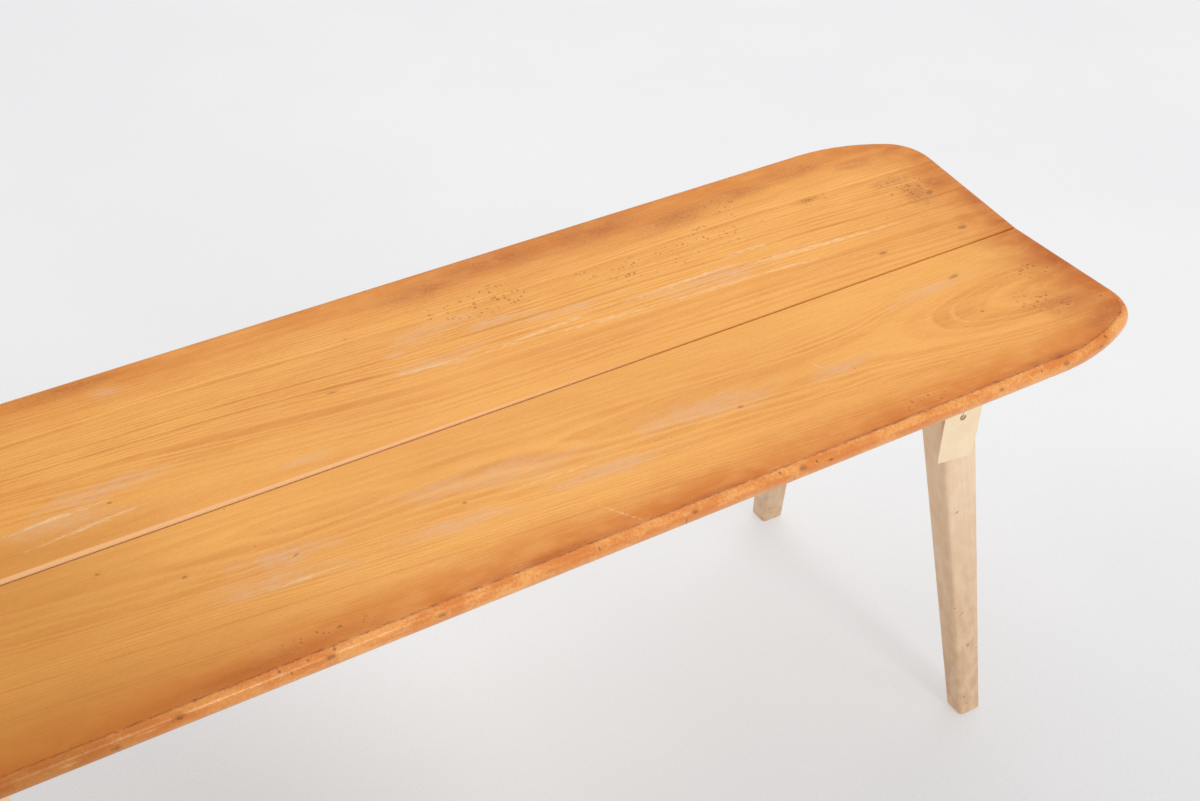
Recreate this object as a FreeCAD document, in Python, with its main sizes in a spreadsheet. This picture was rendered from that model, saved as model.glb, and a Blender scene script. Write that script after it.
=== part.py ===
import FreeCAD, Part
import math
import os
import Sketcher

# A low bench: two long planks set in a shallow V, three cross battens beneath them, and four splayed,
# tapered legs whose wedged tenons sit in the outer battens. A paper tag hangs under the right batten.
# X runs along the bench, Y from front to back, Z up from the floor. Lengths are millimetres.

os.makedirs("parts", exist_ok=True)
doc = FreeCAD.newDocument("bench")
V = FreeCAD.Vector

# Driving dimensions: alias, value, what it is
SIZES = [
    ("seat_length", 1200.0, "length of both planks"),
    ("seat_height", 433.0, "height of the planks' top at the joint"),
    ("dish_angle", 3.25, "rise of each plank away from the joint, degrees"),
    ("joint_gap", 1.2, "open joint between the planks, at the top"),
    ("plank_width", 186.6, "width of one plank, measured on its slope"),
    ("plank_thickness", 18.0, "thickness of a plank away from its edge"),
    ("rim_thickness", 14.2, "thickness of the half-round edge"),
    ("under_bevel_width", 30.0, "width of the bevel under the edge"),
    ("nose_round", 6.9, "rounding of the edge, nearly half of its thickness"),
    ("joint_ease", 0.8, "bevel on the arrises along the joint"),
    ("corner_length", 118.0, "how far the soft corner reaches along the bench"),
    ("corner_depth", 62.0, "how far the soft corner reaches across it"),
    ("corner_tip_radius", 45.0, "radius of the corner's tight arc, at the end of the bench"),
    ("batten_width", 60.0, "width of a cross batten along the bench"),
    ("batten_depth", 22.0, "depth of a batten in the middle"),
    ("batten_half_length", 158.0, "reach of a batten from the joint"),
    ("batten_flat_half", 143.0, "reach of a batten's level underside"),
    ("batten_end_depth", 12.0, "depth of a batten at its end"),
    ("batten_round", 3.0, "rounding of a batten's lower edges"),
    ("leg_top_inset", 168.7, "leg centre to the bench's end, at the seat"),
    ("leg_top_spread", 97.1, "leg centre to the joint, at the seat"),
    ("leg_foot_inset", 112.5, "leg centre to the bench's end, at the floor"),
    ("leg_foot_spread", 162.0, "leg centre to the joint, at the floor"),
    ("leg_top_length", 42.3, "leg section along the bench, at the seat"),
    ("leg_top_width", 35.3, "leg section across the bench, at the seat"),
    ("leg_foot_length", 25.4, "leg section along the bench, at the floor"),
    ("leg_foot_width", 22.0, "leg section across the bench, at the floor"),
    ("leg_top_round", 4.5, "corner radius of the leg's section at the seat"),
    ("leg_foot_round", 4.0, "corner radius of the leg's section at the floor"),
    ("sole_ease", 1.8, "bevel round the sole"),
    ("tenon_length", 26.0, "tenon section along the bench"),
    ("tenon_width", 15.0, "tenon section across the bench"),
    ("tenon_round", 3.0, "corner radius of the tenon"),
    ("tenon_short", 0.5, "how far the tenon ends below the plank"),
    ("mortise_clearance", 0.1, "gap round the tenon"),
    ("wedge_depth", 17.0, "how deep the wedge goes into the tenon"),
    ("wedge_thick", 3.2, "thickness of the wedge at its top"),
    ("wedge_thin", 0.8, "thickness of the wedge at its tip"),
    ("wedge_clearance", 0.05, "gap round the wedge"),
    ("screw_length", 38.0, "whole length of a wood screw"),
    ("screw_shank_radius", 2.0, "radius of its shank"),
    ("screw_head_radius", 4.0, "radius of its countersunk head"),
    ("screw_head_angle", 90.0, "whole angle of its head, degrees"),
    ("screw_tip_length", 6.0, "length of its point"),
    ("screw_tip_radius", 0.4, "radius of the point's end"),
    ("slot_width", 1.0, "width of the driver slot"),
    ("slot_depth", 1.1, "depth of the driver slot"),
    ("screw_clearance", 0.12, "gap round a screw in its hole"),
    ("screw_inner_reach", 45.0, "inner screws to the joint"),
    ("screw_outer_reach", 129.0, "outer screws to the joint"),
    ("screw_middle_reach", 87.0, "the middle batten's screws to the joint"),
    ("screw_stagger", 18.0, "screws to the middle of the outer battens"),
    ("tag_width", 36.0, "width of the paper tag"),
    ("tag_height", 56.0, "height of the paper tag"),
    ("tag_thickness", 0.5, "thickness of the card"),
    ("tag_turn", 10.0, "turn of the tag about the upright, degrees"),
    ("tag_inset", 168.9, "tag's middle to the bench's end"),
    ("tag_reach", 134.0, "tag's middle to the joint"),
    ("tag_hole_radius", 2.4, "radius of the punched hole"),
    ("tag_hole_drop", 9.0, "top edge of the tag to the middle of its hole"),
    ("string_radius", 0.45, "radius of the cotton string"),
    ("string_fold_radius", 1.0, "radius of the string's turn through the hole"),
    ("string_rest_gap", 0.1, "gap between the string and the hole's edge"),
    ("string_run", 16.2, "straight run of the string, middle of the knot to fold"),
    ("knot_radius", 1.5, "radius of the tied knot"),
    ("knot_height", 2.4, "height of the tied knot"),
    ("knot_drop", 2.8, "loop's middle to the knot's middle"),
    ("loop_gap", 0.3, "gap between the tied loop and the staple"),
    ("staple_width", 9.0, "width over the staple's prongs"),
    ("staple_wire_width", 1.2, "broad side of the staple's flat wire"),
    ("staple_wire_depth", 0.7, "narrow side of the staple's flat wire"),
    ("staple_bend_radius", 1.4, "outer radius of the staple's bends and points"),
    ("staple_drop", 5.0, "underside of the batten to the middle of the staple's crown"),
    ("staple_sunk", 8.0, "part of the staple inside the batten"),
    ("staple_clearance", 0.1, "gap round the staple in the batten"),
    ("overrun", 5.0, "how far a cut runs past what it cuts"),
]
sheet = doc.addObject("Spreadsheet::Sheet", "sizes")
for row, (alias, amount, meaning) in enumerate(SIZES, start=1):
    sheet.set("A%d" % row, meaning)
    sheet.set("B%d" % row, str(amount))
    sheet.setAlias("B%d" % row, alias)
doc.recompute()


def size(alias):
    return float(sheet.get(alias))


# Derived heights and places, as expressions on the sheet
UNDERSIDE = ("(sizes.seat_height - sizes.plank_thickness / cos(sizes.dish_angle)"
             " - sizes.joint_gap / 2 * tan(sizes.dish_angle))")
SHOULDER = "(%s - sizes.batten_depth)" % UNDERSIDE
HALF_LENGTH = "(sizes.seat_length / 2)"
BATTEN_PLACE = "(%s - sizes.leg_top_inset)" % HALF_LENGTH
TENON_TOP = ("(%s + (sizes.leg_top_spread - sizes.tenon_width) * tan(sizes.dish_angle) - sizes.tenon_short)"
             % UNDERSIDE)
SCREW_HEAD_HEIGHT = "((sizes.screw_head_radius - sizes.screw_shank_radius) / tan(sizes.screw_head_angle / 2))"
PRONG_REACH = "(sizes.staple_width / 2 - sizes.staple_wire_depth / 2)"
PIVOT_HEIGHT = "(%s - sizes.staple_drop)" % SHOULDER
TAG_PLACE = "(%s - sizes.tag_inset)" % HALF_LENGTH

# Edges and faces closer than this count as lying at the same level
MATCH = 1e-4
# A screw is small and repeats, so it is made with this many flat sides
SCREW_SIDES = 12
# The string's tube has this many flat sides
STRING_SIDES = 8


def new_body(name):
    body = doc.addObject("PartDesign::Body", name)
    body.Label = name
    return body


def place(item, x="0", y="0", z="0"):
    item.setExpression("Placement.Base.x", x)
    item.setExpression("Placement.Base.y", y)
    item.setExpression("Placement.Base.z", z)


def attach(body, item, role):
    plane = [feature for feature in body.Origin.OriginFeatures if feature.Role == role][0]
    item.AttachmentSupport = [(plane, "")]
    item.MapMode = "FlatFace"


def new_sketch(body, name, role="XY_Plane", x="0", y="0", z="0"):
    sketch = body.newObject("Sketcher::SketchObject", name)
    attach(body, sketch, role)
    sketch.setExpression("AttachmentOffset.Base.x", x)
    sketch.setExpression("AttachmentOffset.Base.y", y)
    sketch.setExpression("AttachmentOffset.Base.z", z)
    return sketch


def value(item, expression):
    found = item.evalExpression(expression)
    return float(getattr(found, "Value", found))


def bind(sketch, kind, *args):
    # the last argument is the expression that drives the constraint
    expression = args[-1]
    index = sketch.addConstraint(Sketcher.Constraint(kind, *args[:-1], value(sketch, expression)))
    sketch.setExpression("Constraints[%d]" % index, expression)


def tie(sketch, kind, *args):
    sketch.addConstraint(Sketcher.Constraint(kind, *args))


def line(x0, y0, x1, y1):
    return Part.LineSegment(V(x0, y0, 0), V(x1, y1, 0))


def arc(centre, radius, start, end):
    circle = Part.Circle(V(centre[0], centre[1], 0), V(0, 0, 1), radius)
    return Part.ArcOfCircle(circle, start, end)


def rounded_rectangle(sketch, width, height, radius):
    # a rectangle with round corners, centred on the sketch's origin
    w = value(sketch, width) / 2
    d = value(sketch, height) / 2
    r = value(sketch, radius)
    right = math.pi / 2
    sketch.addGeometry([
        line(-w + r, -d, w - r, -d),
        line(w, -d + r, w, d - r),
        line(w - r, d, -w + r, d),
        line(-w, d - r, -w, -d + r),
        arc((w - r, -d + r), r, -right, 0),
        arc((w - r, d - r), r, 0, right),
        arc((-w + r, d - r), r, right, 2 * right),
        arc((-w + r, -d + r), r, 2 * right, 3 * right)], False)
    for side in range(4):
        corner = 4 + side
        tie(sketch, "Tangent", side, 2, corner, 1)
        tie(sketch, "Tangent", corner, 2, (side + 1) % 4, 1)
    tie(sketch, "Horizontal", 0)
    tie(sketch, "Horizontal", 2)
    tie(sketch, "Vertical", 1)
    tie(sketch, "Vertical", 3)
    for corner in (5, 6, 7):
        tie(sketch, "Equal", 4, corner)
    bind(sketch, "Radius", 4, radius)
    bind(sketch, "DistanceX", 3, 1, 1, 1, width)
    bind(sketch, "DistanceY", 0, 1, 2, 1, height)
    tie(sketch, "Symmetric", 4, 3, 6, 3, -1, 1)


def rectangle(sketch, width, height):
    # a sharp rectangle centred on the sketch's origin
    w = value(sketch, width) / 2
    d = value(sketch, height) / 2
    sketch.addGeometry([line(-w, -d, w, -d), line(w, -d, w, d), line(w, d, -w, d), line(-w, d, -w, -d)], False)
    for side in range(4):
        tie(sketch, "Coincident", side, 2, (side + 1) % 4, 1)
    tie(sketch, "Horizontal", 0)
    tie(sketch, "Horizontal", 2)
    tie(sketch, "Vertical", 1)
    tie(sketch, "Vertical", 3)
    bind(sketch, "DistanceX", 0, 1, 0, 2, width)
    bind(sketch, "DistanceY", 1, 1, 1, 2, height)
    tie(sketch, "Symmetric", 0, 1, 1, 2, -1, 1)


def circles(sketch, radius, centres):
    # centres are pairs of expressions
    for x, y in centres:
        index = sketch.addGeometry(Part.Circle(V(value(sketch, x), value(sketch, y), 0), V(0, 0, 1),
                                               value(sketch, radius)), False)
        bind(sketch, "Radius", index, radius)
        bind(sketch, "DistanceX", -1, 1, index, 3, x)
        bind(sketch, "DistanceY", -1, 1, index, 3, y)


def edges_where(shape, test):
    return ["Edge%d" % number for number, edge in enumerate(shape.Edges, start=1) if test(edge)]


def near(a, b):
    return abs(a - b) < MATCH


def flat_at(axis, level):
    # true for an edge whose whole length lies at one level of X, Y or Z
    def test(edge):
        box = edge.BoundBox
        return near(getattr(box, axis + "Min"), level) and near(getattr(box, axis + "Max"), level)
    return test


def cut(body, kind, name, volume_before):
    # recomputes, and checks that the cutting feature took material away
    doc.recompute()
    if body.Shape.Volume >= volume_before:
        raise RuntimeError("%s %s cut nothing" % (kind, name))


# Planks


def plank_outline(sketch):
    # joint side on the X axis, outer side away from it, with soft two-arc corners
    half = size("seat_length") / 2
    wide = size("plank_width")
    a = size("corner_length")
    b = size("corner_depth")
    tip = size("corner_tip_radius")
    broad = ((a - tip) ** 2 + b ** 2 - tip ** 2) / (2 * (b - tip))
    turn = math.atan2((wide - b) - (wide - broad), (half - tip) - (half - a))
    sketch.addGeometry([
        line(-half, 0, half, 0),
        line(half, 0, half, wide - b),
        arc((half - tip, wide - b), tip, 0, turn),
        arc((half - a, wide - broad), broad, turn, math.pi / 2),
        line(half - a, wide, -half + a, wide),
        arc((-half + a, wide - broad), broad, math.pi / 2, math.pi - turn),
        arc((-half + tip, wide - b), tip, math.pi - turn, math.pi),
        line(-half, wide - b, -half, 0)], False)
    tie(sketch, "Coincident", 0, 2, 1, 1)
    for first in range(1, 7):
        tie(sketch, "Tangent", first, 2, first + 1, 1)
    tie(sketch, "Coincident", 7, 2, 0, 1)
    tie(sketch, "Horizontal", 0)
    tie(sketch, "Vertical", 1)
    tie(sketch, "Vertical", 7)
    tie(sketch, "Symmetric", 0, 1, 0, 2, -1, 1)
    bind(sketch, "DistanceX", 0, 1, 0, 2, "sizes.seat_length")
    bind(sketch, "DistanceY", 0, 2, 3, 2, "sizes.plank_width")
    for small, tangent_point, sign in ((2, (3, 2), 1), (6, (5, 1), -1)):
        bind(sketch, "Radius", small, "sizes.corner_tip_radius")
        end_point = (1, 2) if sign > 0 else (7, 1)
        bind(sketch, "DistanceY", *end_point, *tangent_point, "sizes.corner_depth")
        if sign > 0:
            bind(sketch, "DistanceX", *tangent_point, *end_point, "sizes.corner_length")
        else:
            bind(sketch, "DistanceX", *end_point, *tangent_point, "sizes.corner_length")


def screw_spots(side):
    # the screws of one batten in one plank: along the bench from the batten's middle, and from the joint
    if side == 0:
        return [("0", "sizes.screw_middle_reach")]
    return [("%d * sizes.screw_stagger" % side, "sizes.screw_inner_reach"),
            ("-%d * sizes.screw_stagger" % side, "sizes.screw_outer_reach")]


def make_plank(name, side):
    body = new_body(name)
    top = new_sketch(body, name + "_outline")
    plank_outline(top)
    pad = body.newObject("PartDesign::Pad", name + "_board")
    pad.Profile = top
    pad.Reversed = True
    pad.setExpression("Length", "sizes.plank_thickness")
    doc.recompute()
    below = flat_at("Z", -size("plank_thickness"))
    on_joint = flat_at("Y", 0)
    bevel = body.newObject("PartDesign::Chamfer", name + "_under_bevel")
    bevel.Base = (pad, edges_where(pad.Shape, lambda edge: below(edge) and not on_joint(edge)))
    bevel.ChamferType = "Two distances"
    bevel.setExpression("Size", "sizes.plank_thickness - sizes.rim_thickness")
    bevel.setExpression("Size2", "sizes.under_bevel_width")
    doc.recompute()
    upper = flat_at("Z", 0)
    lower = flat_at("Z", -size("rim_thickness"))
    nose = body.newObject("PartDesign::Fillet", name + "_nose")
    nose.Base = (bevel, edges_where(bevel.Shape,
                                    lambda edge: (upper(edge) or lower(edge)) and not on_joint(edge)))
    nose.setExpression("Radius", "sizes.nose_round")
    doc.recompute()
    ease = body.newObject("PartDesign::Chamfer", name + "_eased_joint")
    ease.Base = (nose, edges_where(nose.Shape, on_joint))
    ease.setExpression("Size", "sizes.joint_ease")
    doc.recompute()
    before = body.Shape.Volume
    # the pilot holes stand upright, so their sketch is turned back by the plank's own slope
    holes = new_sketch(body, name + "_pilot_places")
    tip_level = "(%s + sizes.screw_length - sizes.seat_height)" % SHOULDER
    holes.AttachmentOffset = FreeCAD.Placement(V(0, 0, 0), FreeCAD.Rotation(V(1, 0, 0), -size("dish_angle")))
    holes.setExpression("AttachmentOffset.Rotation.Angle", "-sizes.dish_angle * 1 deg")
    holes.setExpression("AttachmentOffset.Base.y", "%s * sin(sizes.dish_angle)" % tip_level)
    holes.setExpression("AttachmentOffset.Base.z", "%s * cos(sizes.dish_angle)" % tip_level)
    circles(holes, "sizes.screw_shank_radius + sizes.screw_clearance",
            [("%d * %s + %s" % (end, BATTEN_PLACE, x), "(%s - sizes.joint_gap / 2)" % y)
             for end in (-1, 0, 1) for x, y in screw_spots(end)])
    pilots = body.newObject("PartDesign::Pocket", name + "_pilot_holes")
    pilots.Profile = holes
    pilots.Type = "ThroughAll"
    cut(body, "pocket", name, before)
    tilt = size("dish_angle")
    if side > 0:
        turned = FreeCAD.Rotation(V(1, 0, 0), tilt)
    else:
        turned = FreeCAD.Rotation(V(0, 0, 1), 180).multiply(FreeCAD.Rotation(V(1, 0, 0), tilt))
    body.Placement = FreeCAD.Placement(V(0, 0, 0), turned)
    place(body, y="%d * sizes.joint_gap / 2" % side, z="sizes.seat_height")
    return body


# Battens


def batten_profile(sketch):
    # level underside, raised ends, and a top cut to the planks' shallow V, whose bottom is the origin
    reach = size("batten_half_length")
    rise = reach * math.tan(math.radians(size("dish_angle")))
    flat = size("batten_flat_half")
    deep = size("batten_depth")
    end = rise - size("batten_end_depth")
    corners = [(0, 0), (reach, rise), (reach, end), (flat, -deep), (-flat, -deep), (-reach, end), (-reach, rise)]
    count = len(corners)
    sketch.addGeometry([line(*corners[i], *corners[(i + 1) % count]) for i in range(count)], False)
    for i in range(count):
        tie(sketch, "Coincident", i, 2, (i + 1) % count, 1)
    tie(sketch, "Coincident", 0, 1, -1, 1)
    tie(sketch, "Vertical", 1)
    bind(sketch, "DistanceX", -1, 1, 1, 1, "sizes.batten_half_length")
    bind(sketch, "DistanceY", -1, 1, 1, 1, "sizes.batten_half_length * tan(sizes.dish_angle)")
    bind(sketch, "DistanceY", 1, 2, 1, 1, "sizes.batten_end_depth")
    bind(sketch, "DistanceX", -1, 1, 3, 1, "sizes.batten_flat_half")
    bind(sketch, "DistanceY", 3, 1, -1, 1, "sizes.batten_depth")
    for right, left in (((1, 1), (6, 1)), ((2, 1), (5, 1)), ((3, 1), (4, 1))):
        tie(sketch, "Symmetric", *right, *left, -2)


def axis_offset(height, sign_x, sign_y):
    # where a leg's centre line is at a height, from the middle of its foot
    x = "(%d * (sizes.leg_foot_inset - sizes.leg_top_inset) * %s / %s)" % (sign_x, height, UNDERSIDE)
    y = "(%d * (sizes.leg_top_spread - sizes.leg_foot_spread) * %s / %s)" % (sign_y, height, UNDERSIDE)
    return x, y


def foot_place(sign_x, sign_y):
    return "%d * (%s - sizes.leg_foot_inset)" % (sign_x, HALF_LENGTH), "%d * sizes.leg_foot_spread" % sign_y


def add_loft(body, kind, name, profile, section):
    loft = body.newObject("PartDesign::" + kind, name)
    loft.Profile = profile
    loft.Sections = [section]
    loft.Ruled = True
    return loft


def make_batten(name, side):
    # side is -1 and 1 for the battens that carry legs, 0 for the plain one in the middle
    body = new_body(name)
    profile = new_sketch(body, name + "_profile", "YZ_Plane")
    batten_profile(profile)
    pad = body.newObject("PartDesign::Pad", name + "_bar")
    pad.Profile = profile
    pad.Midplane = True
    pad.setExpression("Length", "sizes.batten_width")
    doc.recompute()
    half = size("batten_width") / 2
    deep = size("batten_depth")

    def lower_side(edge):
        box = edge.BoundBox
        on_side = near(abs(box.XMin), half) and near(box.XMin, box.XMax)
        return on_side and box.ZMin < -deep + MATCH
    rounded = body.newObject("PartDesign::Fillet", name + "_rounded")
    rounded.Base = (pad, edges_where(pad.Shape, lower_side))
    rounded.setExpression("Radius", "sizes.batten_round")
    doc.recompute()
    before = body.Shape.Volume
    if side:
        heights = (("low", "(%s - sizes.overrun)" % SHOULDER), ("high", "(%s + sizes.overrun)" % TENON_TOP))
        for label, sign_y in (("front", -1), ("rear", 1)):
            foot_x, foot_y = foot_place(side, sign_y)
            rims = []
            for level, height in heights:
                x, y = axis_offset(height, side, sign_y)
                rim = new_sketch(body, "%s_%s_%s" % (name, label, level),
                                 x="%s + %s - %d * %s" % (foot_x, x, side, BATTEN_PLACE),
                                 y="%s + %s" % (foot_y, y), z="%s - %s" % (height, UNDERSIDE))
                rounded_rectangle(rim, "sizes.tenon_length + 2 * sizes.mortise_clearance",
                                  "sizes.tenon_width + 2 * sizes.mortise_clearance",
                                  "sizes.tenon_round + sizes.mortise_clearance")
                rims.append(rim)
            add_loft(body, "SubtractiveLoft", "%s_%s_mortise" % (name, label), *rims)
            cut(body, "mortise", name, before)
            before = body.Shape.Volume
    places = new_sketch(body, name + "_screw_places", z="-sizes.batten_depth")
    circles(places, "sizes.screw_shank_radius + sizes.screw_clearance",
            [(x, sign + y) for x, y in screw_spots(side) for sign in ("", "-")])
    doc.recompute()
    hole = body.newObject("PartDesign::Hole", name + "_screw_holes")
    hole.Profile = places
    hole.Reversed = True
    hole.DepthType = "ThroughAll"
    hole.HoleCutType = "Countersink"
    hole.HoleCutCustomValues = True
    hole.setExpression("Diameter", "2 * (sizes.screw_shank_radius + sizes.screw_clearance)")
    hole.setExpression("HoleCutDiameter", "2 * (sizes.screw_head_radius + sizes.screw_clearance)")
    hole.setExpression("HoleCutCountersinkAngle", "sizes.screw_head_angle")
    cut(body, "hole", name, before)
    before = body.Shape.Volume
    if side > 0:
        for label, sign in (("left", -1), ("right", 1)):
            along = "%d * %s * cos(sizes.tag_turn)" % (sign, PRONG_REACH)
            across = "%d * %s * sin(sizes.tag_turn)" % (-sign, PRONG_REACH)
            prong = new_sketch(body, "%s_prong_%s" % (name, label),
                               x="%s - %s + %s" % (TAG_PLACE, BATTEN_PLACE, along),
                               y="%s - sizes.tag_reach" % across, z="sizes.staple_sunk - sizes.batten_depth")
            prong.AttachmentOffset = FreeCAD.Placement(V(0, 0, 0), FreeCAD.Rotation(V(0, 0, 1), -size("tag_turn")))
            prong.setExpression("AttachmentOffset.Rotation.Angle", "-sizes.tag_turn * 1 deg")
            rectangle(prong, "sizes.staple_wire_depth + 2 * sizes.staple_clearance",
                      "sizes.staple_wire_width + 2 * sizes.staple_clearance")
            sunk = body.newObject("PartDesign::Pocket", "%s_staple_slit_%s" % (name, label))
            sunk.Profile = prong
            sunk.setExpression("Length", "sizes.staple_sunk + sizes.overrun")
            cut(body, "slit", name, before)
            before = body.Shape.Volume
    place(body, x="%d * %s" % (side, BATTEN_PLACE), z=UNDERSIDE)
    return body


# Legs and their wedges


def add_wedge(body, kind, name, sign_x, sign_y, gap):
    # thin below and thick above, on the leg's centre line; its own Y points up and its own Z forwards
    wedge = body.newObject("PartDesign::" + kind, name)
    attach(body, wedge, "XZ_Plane")
    tip_height = "(%s - sizes.wedge_depth)" % TENON_TOP
    for end, height, thick in (("", tip_height, "sizes.wedge_thin"), ("2", TENON_TOP, "sizes.wedge_thick")):
        x, y = axis_offset(height, sign_x, sign_y)
        half_length = "(sizes.tenon_length / 2 + %s)" % gap
        half_thick = "(%s / 2 + %s)" % (thick, gap)
        wedge.setExpression("X%smin" % end, "%s - %s" % (x, half_length))
        wedge.setExpression("X%smax" % end, "%s + %s" % (x, half_length))
        wedge.setExpression("Z%smin" % end, "-%s - %s" % (y, half_thick))
        wedge.setExpression("Z%smax" % end, "-%s + %s" % (y, half_thick))
    wedge.setExpression("Ymin", tip_height)
    wedge.setExpression("Ymax", TENON_TOP)


def leg_section(part, height):
    # the leg's taper: a size of its section at a height above the floor
    return ("(sizes.leg_foot_%s + (sizes.leg_top_%s - sizes.leg_foot_%s) * %s / %s)"
            % (part, part, part, height, UNDERSIDE))


def make_leg(name, sign_x, sign_y):
    body = new_body(name)
    levels = (("sole", "0", "2 * sizes.sole_ease"), ("ankle", "sizes.sole_ease", "0"), ("shoulder", SHOULDER, "0"))
    sections = []
    for level, height, less in levels:
        x, y = axis_offset(height, sign_x, sign_y)
        section = new_sketch(body, "%s_%s" % (name, level), x=x, y=y, z=height)
        length, width, corner = [leg_section(part, height) for part in ("length", "width", "round")]
        rounded_rectangle(section, "%s - %s" % (length, less), "%s - %s" % (width, less),
                          "%s - %s / 2" % (corner, less))
        sections.append(section)
    sole, ankle, shoulder = sections
    add_loft(body, "AdditiveLoft", name + "_eased_sole", sole, ankle)
    add_loft(body, "AdditiveLoft", name + "_shaft", ankle, shoulder)
    doc.recompute()
    ends = []
    for level, height in (("root", SHOULDER), ("end", TENON_TOP)):
        x, y = axis_offset(height, sign_x, sign_y)
        end = new_sketch(body, "%s_tenon_%s" % (name, level), x=x, y=y, z=height)
        rounded_rectangle(end, "sizes.tenon_length", "sizes.tenon_width", "sizes.tenon_round")
        ends.append(end)
    add_loft(body, "AdditiveLoft", name + "_tenon", *ends)
    doc.recompute()
    before = body.Shape.Volume
    add_wedge(body, "SubtractiveWedge", name + "_kerf", sign_x, sign_y, "sizes.wedge_clearance")
    cut(body, "kerf", name, before)
    foot_x, foot_y = foot_place(sign_x, sign_y)
    place(body, x=foot_x, y=foot_y)
    return body


def make_wedge(name, sign_x, sign_y):
    body = new_body(name)
    add_wedge(body, "AdditiveWedge", name + "_taper", sign_x, sign_y, "0")
    foot_x, foot_y = foot_place(sign_x, sign_y)
    place(body, x=foot_x, y=foot_y)
    return body


# Screws


def many_sided(levels):
    # a closed solid through rings of points; levels are pairs of radius and height
    rings = []
    for radius, height in levels:
        angles = [2 * math.pi * side / SCREW_SIDES for side in range(SCREW_SIDES)]
        rings.append([V(radius * math.cos(angle), radius * math.sin(angle), height) for angle in angles])
    faces = [Part.Face(Part.makePolygon(ring + ring[:1])) for ring in (rings[0], rings[-1])]
    for lower, upper in zip(rings, rings[1:]):
        for side in range(SCREW_SIDES):
            after = (side + 1) % SCREW_SIDES
            corners = [lower[side], lower[after], upper[after], upper[side], lower[side]]
            faces.append(Part.Face(Part.makePolygon(corners)))
    solid = Part.makeSolid(Part.makeShell(faces))
    if solid.Volume < 0:
        solid.reverse()
    return solid


def screw_shape():
    # a slotted countersunk wood screw with its head at the origin, pointing up
    head = size("screw_head_radius")
    shank = size("screw_shank_radius")
    length = size("screw_length")
    blank = many_sided([(head, 0), (shank, value(sheet, SCREW_HEAD_HEIGHT)),
                        (shank, length - size("screw_tip_length")), (size("screw_tip_radius"), length)])
    wide = size("slot_width")
    over = size("overrun")
    slot = Part.makeBox(2 * (head + over), wide, size("slot_depth") + over, V(-head - over, -wide / 2, -over))
    return blank.cut(slot)


def make_screws(name, side):
    # a group of loose solids, half of them in each plank
    one = screw_shape()
    screws = []
    for along, across in screw_spots(side):
        for sign in (-1, 1):
            screws.append(one.translated(V(value(sheet, along), sign * value(sheet, across), 0)))
    group = doc.addObject("Part::Feature", name)
    group.Label = name
    group.Shape = Part.makeCompound(screws)
    place(group, x="%d * %s" % (side, BATTEN_PLACE), z=SHOULDER)
    return group


# Paper tag, its string, and the staple that holds it. These four share one place: the middle of the
# staple's crown, where the string's loop turns.


def hang(item):
    item.Placement = FreeCAD.Placement(V(0, 0, 0), FreeCAD.Rotation(V(0, 0, 1), -size("tag_turn")))
    place(item, x=TAG_PLACE, y="-sizes.tag_reach", z=PIVOT_HEIGHT)


FOLD_DROP = "(sizes.knot_drop + sizes.string_run)"
HOLE_DROP = ("(%s + sizes.string_fold_radius - sizes.string_radius - sizes.string_rest_gap"
             " + sizes.tag_hole_radius)" % FOLD_DROP)


def make_tag():
    body = new_body("paper_tag")
    card = new_sketch(body, "paper_tag_card", "XZ_Plane",
                      y="-(%s - sizes.tag_hole_drop + sizes.tag_height / 2)" % HOLE_DROP)
    rectangle(card, "sizes.tag_width", "sizes.tag_height")
    circles(card, "sizes.tag_hole_radius", [("0", "sizes.tag_height / 2 - sizes.tag_hole_drop")])
    pad = body.newObject("PartDesign::Pad", "paper_tag_sheet")
    pad.Profile = card
    pad.Midplane = True
    pad.setExpression("Length", "sizes.tag_thickness")
    hang(body)
    return body


def make_string():
    # one string, knot to hole and back, folded through the tag's hole
    fold = size("string_fold_radius")
    top = -size("knot_drop")
    low = top - size("string_run")
    down = Part.LineSegment(V(0, -fold, top), V(0, -fold, low))
    turn = Part.Arc(V(0, -fold, low), V(0, 0, low - fold), V(0, fold, low))
    back = Part.LineSegment(V(0, fold, low), V(0, fold, top))
    path = Part.Wire([down.toShape(), turn.toShape(), back.toShape()])
    radius = size("string_radius")
    angles = [2 * math.pi * side / STRING_SIDES for side in range(STRING_SIDES)]
    ring = [V(radius * math.cos(angle), radius * math.sin(angle) - fold, top) for angle in angles]
    section = Part.makePolygon(ring + ring[:1])
    string = doc.addObject("Part::Feature", "tag_string")
    string.Label = "tag_string"
    string.Shape = path.makePipeShell([section], True, False)
    length = 2 * size("string_run") + math.pi * fold
    print("string length %.1f, fold radius %.2f" % (length, fold))
    print("volume against section times length: %.4f" % (string.Shape.Volume / (Part.Face(section).Area * length)))
    hang(string)
    return string


LOOP_RADIUS = "(hypot(sizes.staple_wire_width; sizes.staple_wire_depth) / 2 + sizes.loop_gap)"


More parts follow.
